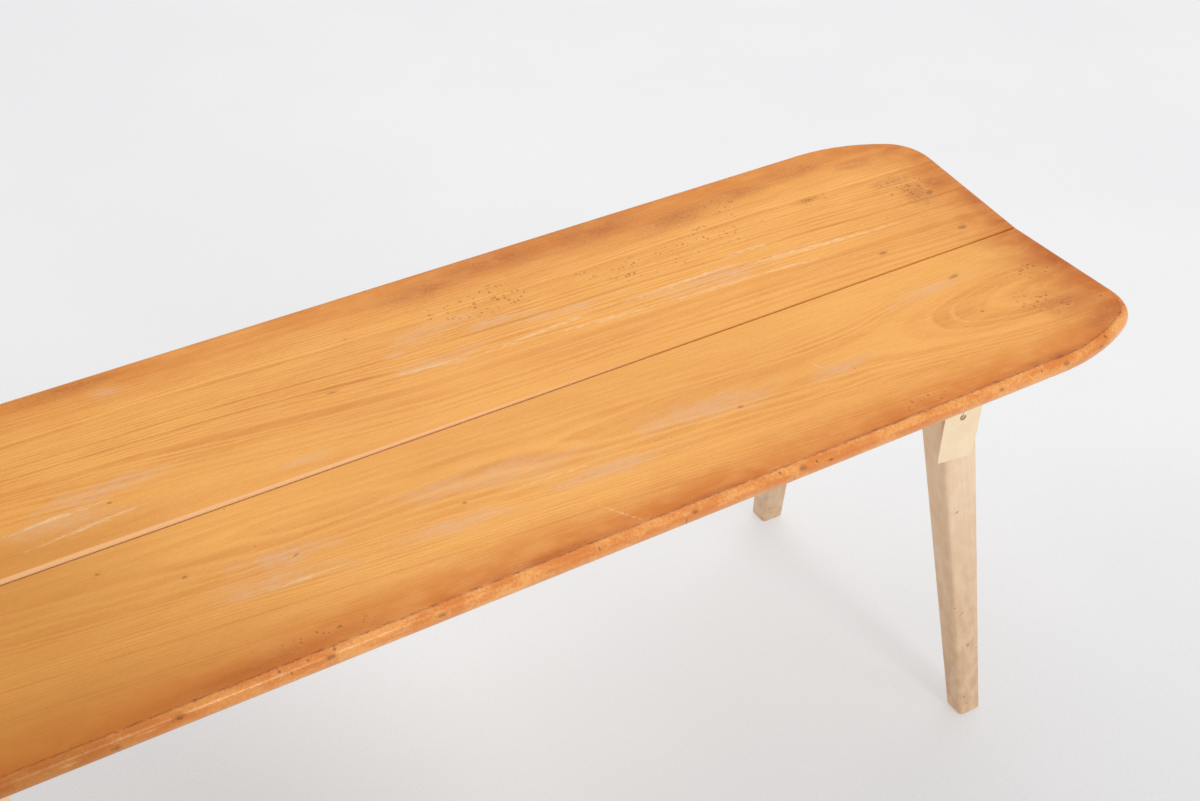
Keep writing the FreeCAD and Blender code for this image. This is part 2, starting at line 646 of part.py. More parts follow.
def make_knot():
    # the loop that turns on the staple's crown, and the wound barrel of the knot below it
    loop = doc.addObject("Part::Cylinder", "tag_knot_loop")
    loop.setExpression("Radius", "%s + 2 * sizes.string_radius" % LOOP_RADIUS)
    loop.setExpression("Height", "2 * sizes.string_radius")
    eye = doc.addObject("Part::Cylinder", "tag_knot_eye")
    eye.setExpression("Radius", LOOP_RADIUS)
    eye.setExpression("Height", "2 * sizes.string_radius")
    for cylinder in (loop, eye):
        cylinder.Placement = FreeCAD.Placement(V(0, 0, 0), FreeCAD.Rotation(V(0, 1, 0), 90))
        place(cylinder, x="-sizes.string_radius")
    knot = doc.addObject("Part::Cylinder", "tag_knot_barrel")
    knot.setExpression("Radius", "sizes.knot_radius")
    knot.setExpression("Height", "sizes.knot_height")
    place(knot, z="-(sizes.knot_drop + sizes.knot_height / 2)")
    whole = doc.addObject("Part::MultiFuse", "tag_knot_whole")
    whole.Shapes = [loop, knot]
    tied = doc.addObject("Part::Cut", "tag_knot")
    tied.Label = "tag_knot"
    tied.Base = whole
    tied.Tool = eye
    hang(tied)
    return tied


def make_staple():
    # flat wire: the inner outline is cut through the outer one, and the round corners above are its points
    body = new_body("tag_staple")
    height = "(sizes.staple_wire_depth / 2 + sizes.staple_drop + sizes.staple_sunk)"
    outer = new_sketch(body, "tag_staple_outside", "XZ_Plane", y="(%s - sizes.staple_wire_depth) / 2" % height)
    rounded_rectangle(outer, "sizes.staple_width", height, "sizes.staple_bend_radius")
    block = body.newObject("PartDesign::Pad", "tag_staple_block")
    block.Profile = outer
    block.Midplane = True
    block.setExpression("Length", "sizes.staple_wire_width")
    doc.recompute()
    before = body.Shape.Volume
    tall = "(%s + sizes.overrun)" % height
    inner = new_sketch(body, "tag_staple_inside", "XZ_Plane", y="(%s + sizes.staple_wire_depth) / 2" % tall)
    rounded_rectangle(inner, "sizes.staple_width - 2 * sizes.staple_wire_depth", tall,
                      "sizes.staple_bend_radius - sizes.staple_wire_depth")
    hollow = body.newObject("PartDesign::Pocket", "tag_staple_hollow")
    hollow.Profile = inner
    hollow.Type = "ThroughAll"
    hollow.Midplane = True
    cut(body, "pocket", "tag_staple", before)
    hang(body)
    return body


nodes = [make_plank("seat_plank_front", -1), make_plank("seat_plank_rear", 1)]
for name, side in (("batten_left", -1), ("batten_middle", 0), ("batten_right", 1)):
    nodes.append(make_batten(name, side))
    nodes.append(make_screws("screws_" + name, side))
for corner, sign_x, sign_y in (("front_left", -1, -1), ("front_right", 1, -1),
                               ("rear_left", -1, 1), ("rear_right", 1, 1)):
    nodes.append(make_leg("leg_" + corner, sign_x, sign_y))
    nodes.append(make_wedge("wedge_" + corner, sign_x, sign_y))
nodes += [make_tag(), make_string(), make_knot(), make_staple()]
doc.recompute()

failed = [item.Name for item in doc.Objects if "Invalid" in item.State or "Error" in item.State]
if failed:
    raise RuntimeError("failed objects: " + ", ".join(failed))
for node in nodes:
    if node.Shape.isNull() or not node.Shape.isValid():
        raise RuntimeError("bad shape: " + node.Label)
for node in nodes:
    box = node.Shape.BoundBox
    print("%-22s solids %d volume %10.1f  x %.1f..%.1f  y %.1f..%.1f  z %.1f..%.1f" % (
        node.Label, len(node.Shape.Solids), node.Shape.Volume,
        box.XMin, box.XMax, box.YMin, box.YMax, box.ZMin, box.ZMax))
    node.Shape.exportStep("parts/%s.step" % node.Label)
print("%d nodes written" % len(nodes))
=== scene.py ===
# %% [markdown]
# # A low two-plank bench, dressed for its picture
#
# The joiner's model comes in as a fixed frame: planks, battens, legs, wedges, screws and a paper tag, each
# at its real size. Here they get their finish, a camera, soft light and a floor, and the few small things
# that are nicer to model: the cotton string, its knot, the card of the tag and the screws.
# Everything is in metres. X runs along the bench, Y from front to back, Z up from the floor.

# %% Load the frame
import bpy
import bmesh
import math
from mathutils import Matrix, Vector


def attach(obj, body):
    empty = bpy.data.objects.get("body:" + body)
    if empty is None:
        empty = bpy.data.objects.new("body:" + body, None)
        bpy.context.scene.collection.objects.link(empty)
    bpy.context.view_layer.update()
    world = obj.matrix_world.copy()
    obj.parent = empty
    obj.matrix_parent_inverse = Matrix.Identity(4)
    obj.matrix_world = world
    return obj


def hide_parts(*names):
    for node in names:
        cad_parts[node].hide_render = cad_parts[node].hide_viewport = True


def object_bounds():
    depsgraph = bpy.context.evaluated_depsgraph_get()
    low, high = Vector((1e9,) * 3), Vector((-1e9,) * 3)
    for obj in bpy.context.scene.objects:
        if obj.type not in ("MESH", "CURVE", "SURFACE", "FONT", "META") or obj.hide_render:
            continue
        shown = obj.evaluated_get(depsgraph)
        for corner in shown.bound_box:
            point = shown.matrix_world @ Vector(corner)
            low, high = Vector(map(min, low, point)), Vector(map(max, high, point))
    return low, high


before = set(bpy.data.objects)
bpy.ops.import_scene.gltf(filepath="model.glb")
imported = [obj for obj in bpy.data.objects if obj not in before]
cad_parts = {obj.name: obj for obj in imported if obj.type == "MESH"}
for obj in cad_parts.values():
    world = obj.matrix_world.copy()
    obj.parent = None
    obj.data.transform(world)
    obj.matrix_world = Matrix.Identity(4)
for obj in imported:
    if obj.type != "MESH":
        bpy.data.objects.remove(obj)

from types import SimpleNamespace

cad_low, cad_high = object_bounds()
print("the bench measures", [round(high - low, 4) for low, high in zip(cad_low, cad_high)])

# %% [markdown]
# ## The camera
#
# A picture is only comparable with a photograph if the eye stands in the same place. The camera's place and
# turn were worked out from the straight lines that the photograph shows: the front and back edges, the
# joint and the edges of the right front leg. It could be aimed by eye or with a track-to constraint, but a
# measured turn keeps the slight lean of the real picture.

# %% Place the camera
PHOTO_WIDTH = 1200
FOCAL_PIXELS = 2055.86
SENSOR_WIDTH = 36.0
CAMERA_PLACE = Vector((-0.64322, -1.09292, 1.46771))
CAMERA_YAW = math.radians(35.596)
CAMERA_PITCH = math.radians(38.368)
CAMERA_ROLL = math.radians(4.169)


def camera_turn(yaw, pitch, roll):
    forward = Vector((math.sin(yaw) * math.cos(pitch), math.cos(yaw) * math.cos(pitch), -math.sin(pitch)))
    level = Vector((math.cos(yaw), -math.sin(yaw), 0.0))
    upright = level.cross(forward)
    right = math.cos(roll) * level + math.sin(roll) * upright
    up = -math.sin(roll) * level + math.cos(roll) * upright
    return Matrix((right, up, -forward)).transposed()


def add_object(name, data):
    # a new object at the origin, unturned, in the scene's own collection
    made = bpy.data.objects.new(name, data)
    bpy.context.scene.collection.objects.link(made)
    return made


camera_data = bpy.data.cameras.new("photo_camera")
camera_data.sensor_width = SENSOR_WIDTH
camera_data.lens = FOCAL_PIXELS * SENSOR_WIDTH / PHOTO_WIDTH
camera = add_object("photo_camera", camera_data)
camera.matrix_world = Matrix.Translation(CAMERA_PLACE) @ camera_turn(
    CAMERA_YAW, CAMERA_PITCH, CAMERA_ROLL).to_4x4()
bpy.context.scene.camera = camera
print("lens %.1f mm" % camera_data.lens)

# %% [markdown]
# ## The string on the tag
#
# A short cotton string hangs from a staple under the right batten and carries the tag. It is one length:
# down in front of the card, through the punched hole and up again behind. A smooth NURBS curve with a round
# bevel is the right tool, because the curve is the string's own line and its length can be measured.

# %% The string
MM = 0.001
PIVOT = Vector((0.4311, -0.134, 0.387937))
TAG_TURN = math.radians(-10)
STRING_RADIUS = 0.45 * MM
KNOT_DROP = 2.8 * MM
STRING_RUN = 16.2 * MM
FOLD_RADIUS = 1.0 * MM
FOLD_DROP = KNOT_DROP + STRING_RUN
HANG = Matrix.Translation(PIVOT) @ Matrix.Rotation(TAG_TURN, 4, "Z")


def hung(x, y, z):
    # from the tag's own place, level with the staple's crown, to the bench's frame
    return HANG @ Vector((x, y, z))


def tube_curve(name, points, radius, sides=4):
    data = bpy.data.curves.new(name, "CURVE")
    data.dimensions = "3D"
    spline = data.splines.new("NURBS")
    spline.points.add(len(points) - 1)
    for control, point in zip(spline.points, points):
        control.co = (*point, 1.0)
    spline.order_u = 3
    spline.use_endpoint_u = True
    spline.resolution_u = 8
    data.bevel_depth = radius
    data.bevel_resolution = sides
    data.use_fill_caps = True
    return add_object(name, data)


depths = [KNOT_DROP, KNOT_DROP + 0.45 * STRING_RUN, KNOT_DROP + 0.85 * STRING_RUN, FOLD_DROP + FOLD_RADIUS]
string_route = [hung(0, -FOLD_RADIUS, -depth) for depth in depths]
string_route += [hung(0, FOLD_RADIUS, -depth) for depth in reversed(depths)]
string = tube_curve("white_tag_string", string_route, STRING_RADIUS)

# %% [markdown]
# The knot is a small closed loop round the staple's crown and two turns of the same string wound round both
# strands. Two coloured blobs would do at this size, but wound turns still look right in a close view, and
# their line is easy to write: a circle, and a helix.

# %% The knot
LOOP_RADIUS = 1.445 * MM
BARREL_RADIUS = 1.02 * MM
BARREL_TURNS = 2
BARREL_PITCH = 0.92 * MM
STEPS_A_TURN = 10


def ring_points(radius, steps):
    angles = [2 * math.pi * step / steps for step in range(steps)]
    return [hung(0, radius * math.sin(angle), radius * math.cos(angle)) for angle in angles]


def barrel_points():
    points = []
    for step in range(BARREL_TURNS * STEPS_A_TURN + 1):
        turn = step / STEPS_A_TURN
        angle = 2 * math.pi * turn
        depth = KNOT_DROP + (turn - BARREL_TURNS / 2) * BARREL_PITCH
        points.append(hung(BARREL_RADIUS * math.cos(angle), BARREL_RADIUS * math.sin(angle), -depth))
    return points


def to_mesh(source, name):
    # the finished form as a plain mesh, with the object it came from thrown away
    seen = source.evaluated_get(bpy.context.evaluated_depsgraph_get())
    made = add_object(name, bpy.data.meshes.new_from_object(seen))
    bpy.data.objects.remove(source)
    return made


def merged(pieces, name):
    # several meshes as one piece, by way of a bmesh that takes them in one after the other
    whole = bmesh.new()
    for piece in pieces:
        whole.from_mesh(piece.data)
    mesh = bpy.data.meshes.new(name)
    whole.to_mesh(mesh)
    whole.free()
    for piece in pieces:
        bpy.data.objects.remove(piece)
    return add_object(name, mesh)


def shade_smooth(piece, angle=None):
    # smooth faces, with every edge sharper than the angle kept crisp
    piece.data.shade_smooth()
    if angle is not None:
        piece.data.set_sharp_from_angle(angle=math.radians(angle))


loop_curve = tube_curve("loop_curve", ring_points(LOOP_RADIUS, STEPS_A_TURN), STRING_RADIUS)
loop_curve.data.splines[0].use_cyclic_u = True
barrel_curve = tube_curve("barrel_curve", barrel_points(), STRING_RADIUS)
knot = merged([to_mesh(loop_curve, "loop_part"), to_mesh(barrel_curve, "barrel_part")], "tied_knot")
shade_smooth(knot)
print("knot faces:", len(knot.data.polygons))

# %% [markdown]
# ## The paper tag
#
# A luggage tag is cut from stiff card: a rectangle with a punched hole. Hanging for years, it has curled a
# little. Its outline is written as a distance from the hole at every angle, because the mesh will grow
# outwards from there. Subdividing a plain rectangle would be quicker, but its faces would not meet the
# round hole.

# %% The card's outline and its bend
TAG_WIDTH = 36 * MM
TAG_HEIGHT = 56 * MM
TAG_THICKNESS = 0.5 * MM
TAG_CORNER = 1.2 * MM
HOLE_RADIUS = 2.4 * MM
HOLE_DROP = 21.85 * MM
HOLE_FROM_TOP = 9 * MM
CARD_CURL = 1.1 * MM
CARD_TWIST = 1.1 * MM
TINY = 1e-6


def card_outline(angle):
    # the point of the card's rounded rectangle that lies at this angle, seen from the hole
    across, up = math.cos(angle), math.sin(angle)
    top, bottom, side = HOLE_FROM_TOP, TAG_HEIGHT - HOLE_FROM_TOP, TAG_WIDTH / 2
    reach = min(side / max(abs(across), TINY), (top if up > 0 else bottom) / max(abs(up), TINY))
    x, z = across * reach, up * reach
    edge = top if z > 0 else bottom
    over_x, over_z = abs(x) - (side - TAG_CORNER), abs(z) - (edge - TAG_CORNER)
    if over_x > 0 and over_z > 0:
        stretch = TAG_CORNER / math.hypot(over_x, over_z)
        x = math.copysign(side - TAG_CORNER + over_x * stretch, x)
        z = math.copysign(edge - TAG_CORNER + over_z * stretch, z)
    return x, z


def card_bow(x, z):
    # how far the card bends forward: flat at the hole, more towards the lower end, and a little askew
    fall = max(0.0, -z) / TAG_HEIGHT
    return -CARD_CURL * fall ** 2 + CARD_TWIST * (x / TAG_WIDTH) * fall


print("the card's lower end bends by %.1f mm" % (abs(card_bow(0.0, HOLE_FROM_TOP - TAG_HEIGHT)) / MM))

# %% [markdown]
# The mesh is a set of rings that grow from the round hole to the card's outline, so no face is long and
# thin and the curl bends smoothly. The two faces are that mesh twice, with a strip closing the edge and the
# hole.

# %% The card's mesh
CARD_RINGS = 12
CARD_SIDES = 96


def card_ring(mesh, side, share):
    # one closed row of points, between the hole (share 0) and the outline (share 1)
    points = []
    for step in range(CARD_SIDES):
        angle = 2 * math.pi * (step + 0.5) / CARD_SIDES
        x_out, z_out = card_outline(angle)
        x = HOLE_RADIUS * math.cos(angle) * (1 - share) + x_out * share
        z = HOLE_RADIUS * math.sin(angle) * (1 - share) + z_out * share
        y = side * TAG_THICKNESS / 2 + card_bow(x, z)
        points.append(mesh.verts.new(hung(x, y, z - HOLE_DROP)))
    return points


def bridge(mesh, first, second):
    # a closed strip of faces between two rings
    for step in range(len(first)):
        after = (step + 1) % len(first)
        mesh.faces.new((first[step], first[after], second[after], second[step]))


def make_card():
    mesh = bmesh.new()
    front, back = ([card_ring(mesh, side, ring / CARD_RINGS) for ring in range(CARD_RINGS + 1)]
                   for side in (-1, 1))
    for rings in (front, back):
        for inner, outer in zip(rings, rings[1:]):
            bridge(mesh, inner, outer)
    bridge(mesh, front[0], back[0])
    bridge(mesh, front[-1], back[-1])
    bmesh.ops.recalc_face_normals(mesh, faces=mesh.faces)
    data = bpy.data.meshes.new("hanging_tag")
    mesh.to_mesh(data)
    mesh.free()
    return add_object("hanging_tag", data)


tag = make_card()
shade_smooth(tag, angle=30)
print("tag faces:", len(tag.data.polygons))

# %% [markdown]
# ## The screws
#
# Ten slotted wood screws hold the planks to the battens from below. They are all alike, so one small tree
# of geometry nodes draws a screw and puts it on every point of a mesh. Modelling one by hand and copying it
# would look the same, but here a size is a named input, and each screw can be turned by a seeded random
# angle, as a hand leaves it. Writing each wire of a tree by hand hides the idea, so one function puts a
# node in and fills its inputs at the same time, with a number, a colour or the output of another node.

# %% Nodes and sums in a tree


def give(tree, socket, given):
    if isinstance(given, bpy.types.NodeSocket):
        tree.links.new(given, socket)
    else:
        socket.default_value = given


def put_node(tree, kind, inputs=None, **settings):
    made = tree.nodes.new(kind)
    for name, setting in settings.items():
        setattr(made, name, setting)
    for name, given in (inputs or {}).items():
        give(tree, made.inputs[name], given)
    return made


def reckon(tree, operation, *values, clamp=False):
    # one sum; the operation's name is Blender's own
    inputs = dict(enumerate(values))
    return put_node(tree, "ShaderNodeMath", inputs, operation=operation, use_clamp=clamp).outputs[0]


def times(tree, *values):
    product = values[0]
    for value in values[1:]:
        product = reckon(tree, "MULTIPLY", product, value)
    return product


def minus(tree, value, taken):
    return reckon(tree, "SUBTRACT", value, taken)


# %% [markdown]
# A screw is four simple forms: a flat countersunk head, a slot cut out of it by a boolean, a tapered core,
# and a thread. The thread is a spiral with a three-sided profile drawn along it, which is what a real one
# is.

# %% One tree for every screw
SCREW_TREE_SIZES = {
    "Head Radius": 4.0 * MM, "Head Height": 2.0 * MM, "Shank Radius": 2.0 * MM, "Length": 38 * MM,
    "Slot Width": 1.0 * MM, "Slot Depth": 1.1 * MM, "Thread Depth": 0.45 * MM,
}
HEAD_SIDES = 32
CORE_SIDES = 20
CORE_TIP = 0.25
THREAD_TURNS = 11
THREAD_STEPS = 18
THREAD_START = 0.36
THREAD_REACH = 0.62
THREAD_TOP = 0.82
THREAD_TIP = 0.30


def cone(tree, sides, bottom, top, depth):
    inputs = {"Vertices": sides, "Radius Bottom": bottom, "Radius Top": top, "Depth": depth}
    return put_node(tree, "GeometryNodeMeshCone", inputs).outputs["Mesh"]


def slotted_head(tree, given):
    head = cone(tree, HEAD_SIDES, given["Head Radius"], given["Shank Radius"], given["Head Height"])
    slot_size = put_node(tree, "ShaderNodeCombineXYZ", {
        "X": times(tree, given["Head Radius"], 3.0), "Y": given["Slot Width"],
        "Z": times(tree, given["Slot Depth"], 2.0)}).outputs[0]
    block = put_node(tree, "GeometryNodeMeshCube", {"Size": slot_size}).outputs["Mesh"]
    return put_node(tree, "GeometryNodeMeshBoolean", {"Mesh 1": head, "Mesh 2": block},
                    operation="DIFFERENCE", solver="EXACT").outputs["Mesh"]


def thread_round(tree, given, core_foot, core_length):
    spiral = put_node(tree, "GeometryNodeCurveSpiral", {
        "Resolution": THREAD_STEPS, "Rotations": float(THREAD_TURNS),
        "Start Radius": times(tree, given["Shank Radius"], THREAD_TOP),
        "End Radius": times(tree, core_foot, THREAD_TIP),
        "Height": times(tree, core_length, THREAD_REACH)}).outputs["Curve"]
    profile = put_node(tree, "GeometryNodeCurvePrimitiveCircle", {
        "Resolution": 3, "Radius": given["Thread Depth"]}).outputs["Curve"]
    return put_node(tree, "GeometryNodeCurveToMesh", {
        "Curve": spiral, "Profile Curve": profile, "Fill Caps": True}).outputs["Mesh"]


def lifted(tree, geometry, height):
    lift = put_node(tree, "ShaderNodeCombineXYZ", {"Z": height}).outputs[0]
    return put_node(tree, "GeometryNodeTransform", {"Geometry": geometry, "Translation": lift}).outputs[0]


def screw_tree():
    tree = bpy.data.node_groups.new("slotted_screws", "GeometryNodeTree")
    sockets = [("Spots", "Geometry"), *((label, "Float") for label in SCREW_TREE_SIZES), ("Seed", "Int"),
               ("Finish", "Material")]
    for label, kind in sockets:
        tree.interface.new_socket(label, in_out="INPUT", socket_type="NodeSocket" + kind)
    tree.interface.new_socket("Screws", in_out="OUTPUT", socket_type="NodeSocketGeometry")
    given = tree.nodes.new("NodeGroupInput").outputs
    core_length = minus(tree, given["Length"], given["Head Height"])
    core_foot = minus(tree, given["Shank Radius"], given["Thread Depth"])
    core = cone(tree, CORE_SIDES, given["Shank Radius"], times(tree, core_foot, CORE_TIP), core_length)
    thread = thread_round(tree, given, core_foot, core_length)
    whole = put_node(tree, "GeometryNodeJoinGeometry")
    for part in (slotted_head(tree, given), lifted(tree, core, given["Head Height"]),
                 lifted(tree, thread, times(tree, given["Length"], THREAD_START))):
        tree.links.new(part, whole.inputs[0])
    turn = put_node(tree, "FunctionNodeRandomValue", {"Max": (0.0, 0.0, math.pi), "Seed": given["Seed"]},
                    data_type="FLOAT_VECTOR").outputs["Value"]
    placed = put_node(tree, "GeometryNodeInstanceOnPoints", {
        "Points": given["Spots"], "Instance": whole.outputs[0], "Rotation": turn}).outputs[0]
    real = put_node(tree, "GeometryNodeRealizeInstances", {"Geometry": placed}).outputs[0]
    finish = {"Geometry": real, "Material": given["Finish"]}
    dressed = put_node(tree, "GeometryNodeSetMaterial", finish).outputs[0]
    tree.links.new(dressed, tree.nodes.new("NodeGroupOutput").inputs["Screws"])
    return tree


slotted_screws = screw_tree()
print("screw tree nodes:", len(slotted_screws.nodes))

# %% [markdown]
# ## Patterns that several finishes share
#
# Wood, card and steel all need the same few effects: broad cloudy changes of tone, spots, rubbed edges and
# fine grain. Each effect is one shader node group with named inputs, built once and used in each finish
# with its own values. All of them read the place on the object in millimetres, so every pattern has a real
# size. Colours are written as a paint chart gives them, from 0 to 255, and turned into the linear light
# that shaders use.

# %% Colours and mixes
DARK_PART = 0.04045


def paint(red, green, blue):
    # a screen colour from 0 to 255 as linear light
    linear = []
    for channel in (red, green, blue):
        share = channel / 255
        linear.append(share / 12.92 if share <= DARK_PART else ((share + 0.055) / 1.055) ** 2.4)
    return (*linear, 1.0)


def put(tree, kind, inputs=None, **settings):
    return put_node(tree, "ShaderNode" + kind, inputs, **settings)


def tint(tree, share, under, over):
    # colours are the sixth and seventh inputs of a mix node, and its third output
    return put(tree, "Mix", {0: share, 6: under, 7: over}, data_type="RGBA").outputs[2]


def ramp_between(tree, value, low, high, to_low=0.0, to_high=1.0, smooth=True):
    inputs = {"Value": value, "From Min": low, "From Max": high, "To Min": to_low, "To Max": to_high}
    kind = "SMOOTHSTEP" if smooth else "LINEAR"
    return put(tree, "MapRange", inputs, interpolation_type=kind).outputs["Result"]


def gained(tree, value, gain, start):
    # the value times a gain, on top of a start
    return reckon(tree, "MULTIPLY_ADD", value, gain, start)


def swayed(tree, value, pattern, middle, gain):
    # adds a pattern that swings about its middle, so that a stronger pattern doesn't darken the whole
    return gained(tree, minus(tree, pattern, middle), gain, value)


# %% [markdown]
# A pattern has to know where on the object it is. So the next helpers take a place apart, squeeze it along
# the grain or count it in steps, and read a noise there. A Mapping node could do the squeezing, but
# a plain product shows what happens.

# %% Places and noises


def split(tree, vector):
    return put(tree, "SeparateXYZ", {0: vector}).outputs


def join(tree, x, y, z):
    return put(tree, "CombineXYZ", {0: x, 1: y, 2: z}).outputs[0]


def stretched(tree, vector, scale):
    # squeezes or stretches the space that a pattern is drawn in
    return put(tree, "VectorMath", {0: vector, 1: scale}, operation="MULTIPLY").outputs[0]


def shrunk(tree, vector, size):
    # the place counted in steps of a size
    inputs = {0: vector, "Scale": reckon(tree, "DIVIDE", 1.0, size)}
    return put(tree, "VectorMath", inputs, operation="SCALE").outputs[0]


def moved(tree, vector, way):
    return put(tree, "VectorMath", {0: vector, 1: way}, operation="ADD").outputs[0]


def dot_product(tree, first, second):
    return put(tree, "VectorMath", {0: first, 1: second}, operation="DOT_PRODUCT").outputs["Value"]


def noise(tree, vector, scale, detail=2.0, roughness=0.5):
    inputs = {"Vector": vector, "Scale": scale, "Detail": detail, "Roughness": roughness}
    return put(tree, "TexNoise", inputs).outputs["Fac"]


def noise_along(tree, value, scale, detail):
    inputs = {"W": value, "Scale": scale, "Detail": detail}
    return put(tree, "TexNoise", inputs, noise_dimensions="1D").outputs["Fac"]


def hypotenuse(tree, first, second):
    squares = [reckon(tree, "POWER", side, 2.0) for side in (first, second)]
    return reckon(tree, "SQRT", reckon(tree, "ADD", *squares))


# %% [markdown]
# A group is a small tree that many materials share. One function opens it with its named inputs and
# outputs, one closes it, and one places it in a material with that material's own values.

# %% Opening, closing and using a group


def open_group(name, inputs, outputs):
    tree = bpy.data.node_groups.new(name, "ShaderNodeTree")
    for label, kind, default in inputs:
        socket = tree.interface.new_socket(label, in_out="INPUT", socket_type="NodeSocket" + kind)
        if default is not None:
            socket.default_value = default
    for label, kind in outputs:
        tree.interface.new_socket(label, in_out="OUTPUT", socket_type="NodeSocket" + kind)
    return tree, tree.nodes.new("NodeGroupInput").outputs


def close_group(tree, **results):
    end = tree.nodes.new("NodeGroupOutput")
    for label, socket in results.items():
        tree.links.new(socket, end.inputs[label.replace("_", " ")])
    print("group", tree.name, "has", len(tree.nodes), "nodes")


def use(tree, group, **inputs):
    return put(tree, "Group", {name.replace("_", " "): given for name, given in inputs.items()},
               node_tree=group).outputs


# %% [markdown]
# No board has one even tone. A cloud is a soft noise, stretched along the grain where the material has one,
# and sharpened a little, so that it reads as lighter and darker places and not as a haze.

# %% Group: clouds
CLOUDS, given = open_group("clouds", [("Place", "Vector", None), ("Size", "Float", 100.0),
                                      ("Stretch", "Vector", (1.0, 1.0, 1.0)), ("Seed", "Float", 0.0)],
                           [("Mask", "Float")])
scaled = shrunk(CLOUDS, stretched(CLOUDS, given["Place"], given["Stretch"]), given["Size"])
shifted = moved(CLOUDS, scaled, join(CLOUDS, given["Seed"], given["Seed"], given["Seed"]))
cloud = noise(CLOUDS, shifted, 1.0, detail=3.0, roughness=0.55)
close_group(CLOUDS, Mask=ramp_between(CLOUDS, cloud, 0.32, 0.68))

# %% [markdown]
# A knot, a chip, a smear or a dent is a mark at one place, drawn as an oval. How far a point lies along the
# oval's long way and its short way are two dot products, each measured in half sizes, and the sum of their
# squares is one on its outline. The least of many such sums then serves a whole list of marks with one
# fade.

# %% Group: one mark
MARK, given = open_group("mark", [("Place", "Vector", None), ("Middle", "Vector", (0.0, 0.0, 0.0)),
                                  ("Long Way", "Vector", (0.2, 0.0, 0.0)),
                                  ("Short Way", "Vector", (0.0, 0.5, 0.0))], [("Square", "Float")])
away = put(MARK, "VectorMath", {0: given["Place"], 1: given["Middle"]}, operation="SUBTRACT").outputs[0]
along = dot_product(MARK, away, given["Long Way"])
aside = dot_product(MARK, away, given["Short Way"])
close_group(MARK, Square=gained(MARK, along, along, times(MARK, aside, aside)))

# %% Masks from a list of marks


def marks(tree, place, listed, fray, softness=0.6, ragged=0.2):
    # one mask for a list of marks; a pattern that swings about a half frays their outlines
    least = None
    for x, y, half_x, half_y, turn in listed:
        lean_x, lean_y = math.cos(math.radians(turn)), math.sin(math.radians(turn))
        square = use(tree, MARK, Place=place, Middle=(x, y, 0.0),
                     Long_Way=(lean_x / half_x, lean_y / half_x, 0.0),
                     Short_Way=(-lean_y / half_y, lean_x / half_y, 0.0))[0]
        least = square if least is None else reckon(tree, "MINIMUM", least, square)
    frayed = swayed(tree, reckon(tree, "SQRT", least), fray, 0.5, 4.0 * ragged)
    return ramp_between(tree, frayed, 1.0 - softness, 1.0, 1.0, 0.0)


# %% [markdown]
# Hands and cloths rub the arrises first. A bevel node rounds the normal near an edge, and where the rounded
# normal and the true one differ, the point lies on an arris. The mask is broken up by fine noise. On the
# legs it also carries a painted highlight along the arris.

# %% Group: rubbed arris, and the legs' painted highlight
ARRIS, given = open_group("arris_wear_and_highlight_mask", [("Place", "Vector", None), ("Reach", "Float", 0.0015),
                                           ("Patchy", "Float", 0.5)], [("Mask", "Float")])
rounded = put(ARRIS, "Bevel", {"Radius": given["Reach"]}, samples=4).outputs["Normal"]
true_normal = put(ARRIS, "NewGeometry").outputs["Normal"]
turned_away = ramp_between(ARRIS, minus(ARRIS, 1.0, dot_product(ARRIS, rounded, true_normal)), 0.004, 0.10)
broken = ramp_between(ARRIS, noise(ARRIS, given["Place"], 0.12, detail=4.0, roughness=0.6), 0.38, 0.60)
kept = minus(ARRIS, 1.0, times(ARRIS, given["Patchy"], minus(ARRIS, 1.0, broken)))
close_group(ARRIS, Mask=times(ARRIS, turned_away, kept))

# %% [markdown]
# Growth rings are the trunk's yearly layers: soft pale wood grown in spring, then a thin hard dark line. On
# a board they are circles round a pith that lies outside it, cut by the board's face. So the group needs
# only the distance from the pith: across the board and down to it. A slow noise and a quick one make the
# lines waver.

# %% Group: growth rings, the distance from the pith
RINGS, given = open_group("growth_rings", [
    ("Place", "Vector", None), ("Across", "Float", 0.0), ("Depth", "Float", 60.0), ("Ring", "Float", 3.0),
    ("Waver", "Float", 3.0), ("Soft", "Float", 0.0), ("Seed", "Float", 0.0)],
    [("Line", "Float"), ("Tone", "Float")])
SLOW_STRETCH = (1 / 260, 1 / 45, 1 / 45)
QUICK_STRETCH = (1 / 60, 1 / 9, 1 / 9)
PATCH_STRETCH = (1 / 80, 1 / 10, 1 / 10)
slow_place = moved(RINGS, stretched(RINGS, given["Place"], SLOW_STRETCH),
                   join(RINGS, given["Seed"], 0.0, 0.0))
slow = minus(RINGS, noise(RINGS, slow_place, 1.0), 0.5)
quick = minus(RINGS, noise(RINGS, stretched(RINGS, given["Place"], QUICK_STRETCH), 1.0), 0.5)
radius = hypotenuse(RINGS, given["Across"], given["Depth"])
radius = gained(RINGS, slow, times(RINGS, given["Waver"], 4.0), radius)
radius = gained(RINGS, quick, times(RINGS, given["Waver"], 0.35), radius)
seeded = reckon(RINGS, "ADD", radius, given["Seed"])

# %% [markdown]
# A young tree grows wide rings and an old one narrow ones, so the count goes with the square of that
# distance. Every ring has its own width and strength, and the profile rises slowly and drops at once, as
# the real one does, unless it is soft. A second, slower noise along the distance gives groups of years
# their own tone.

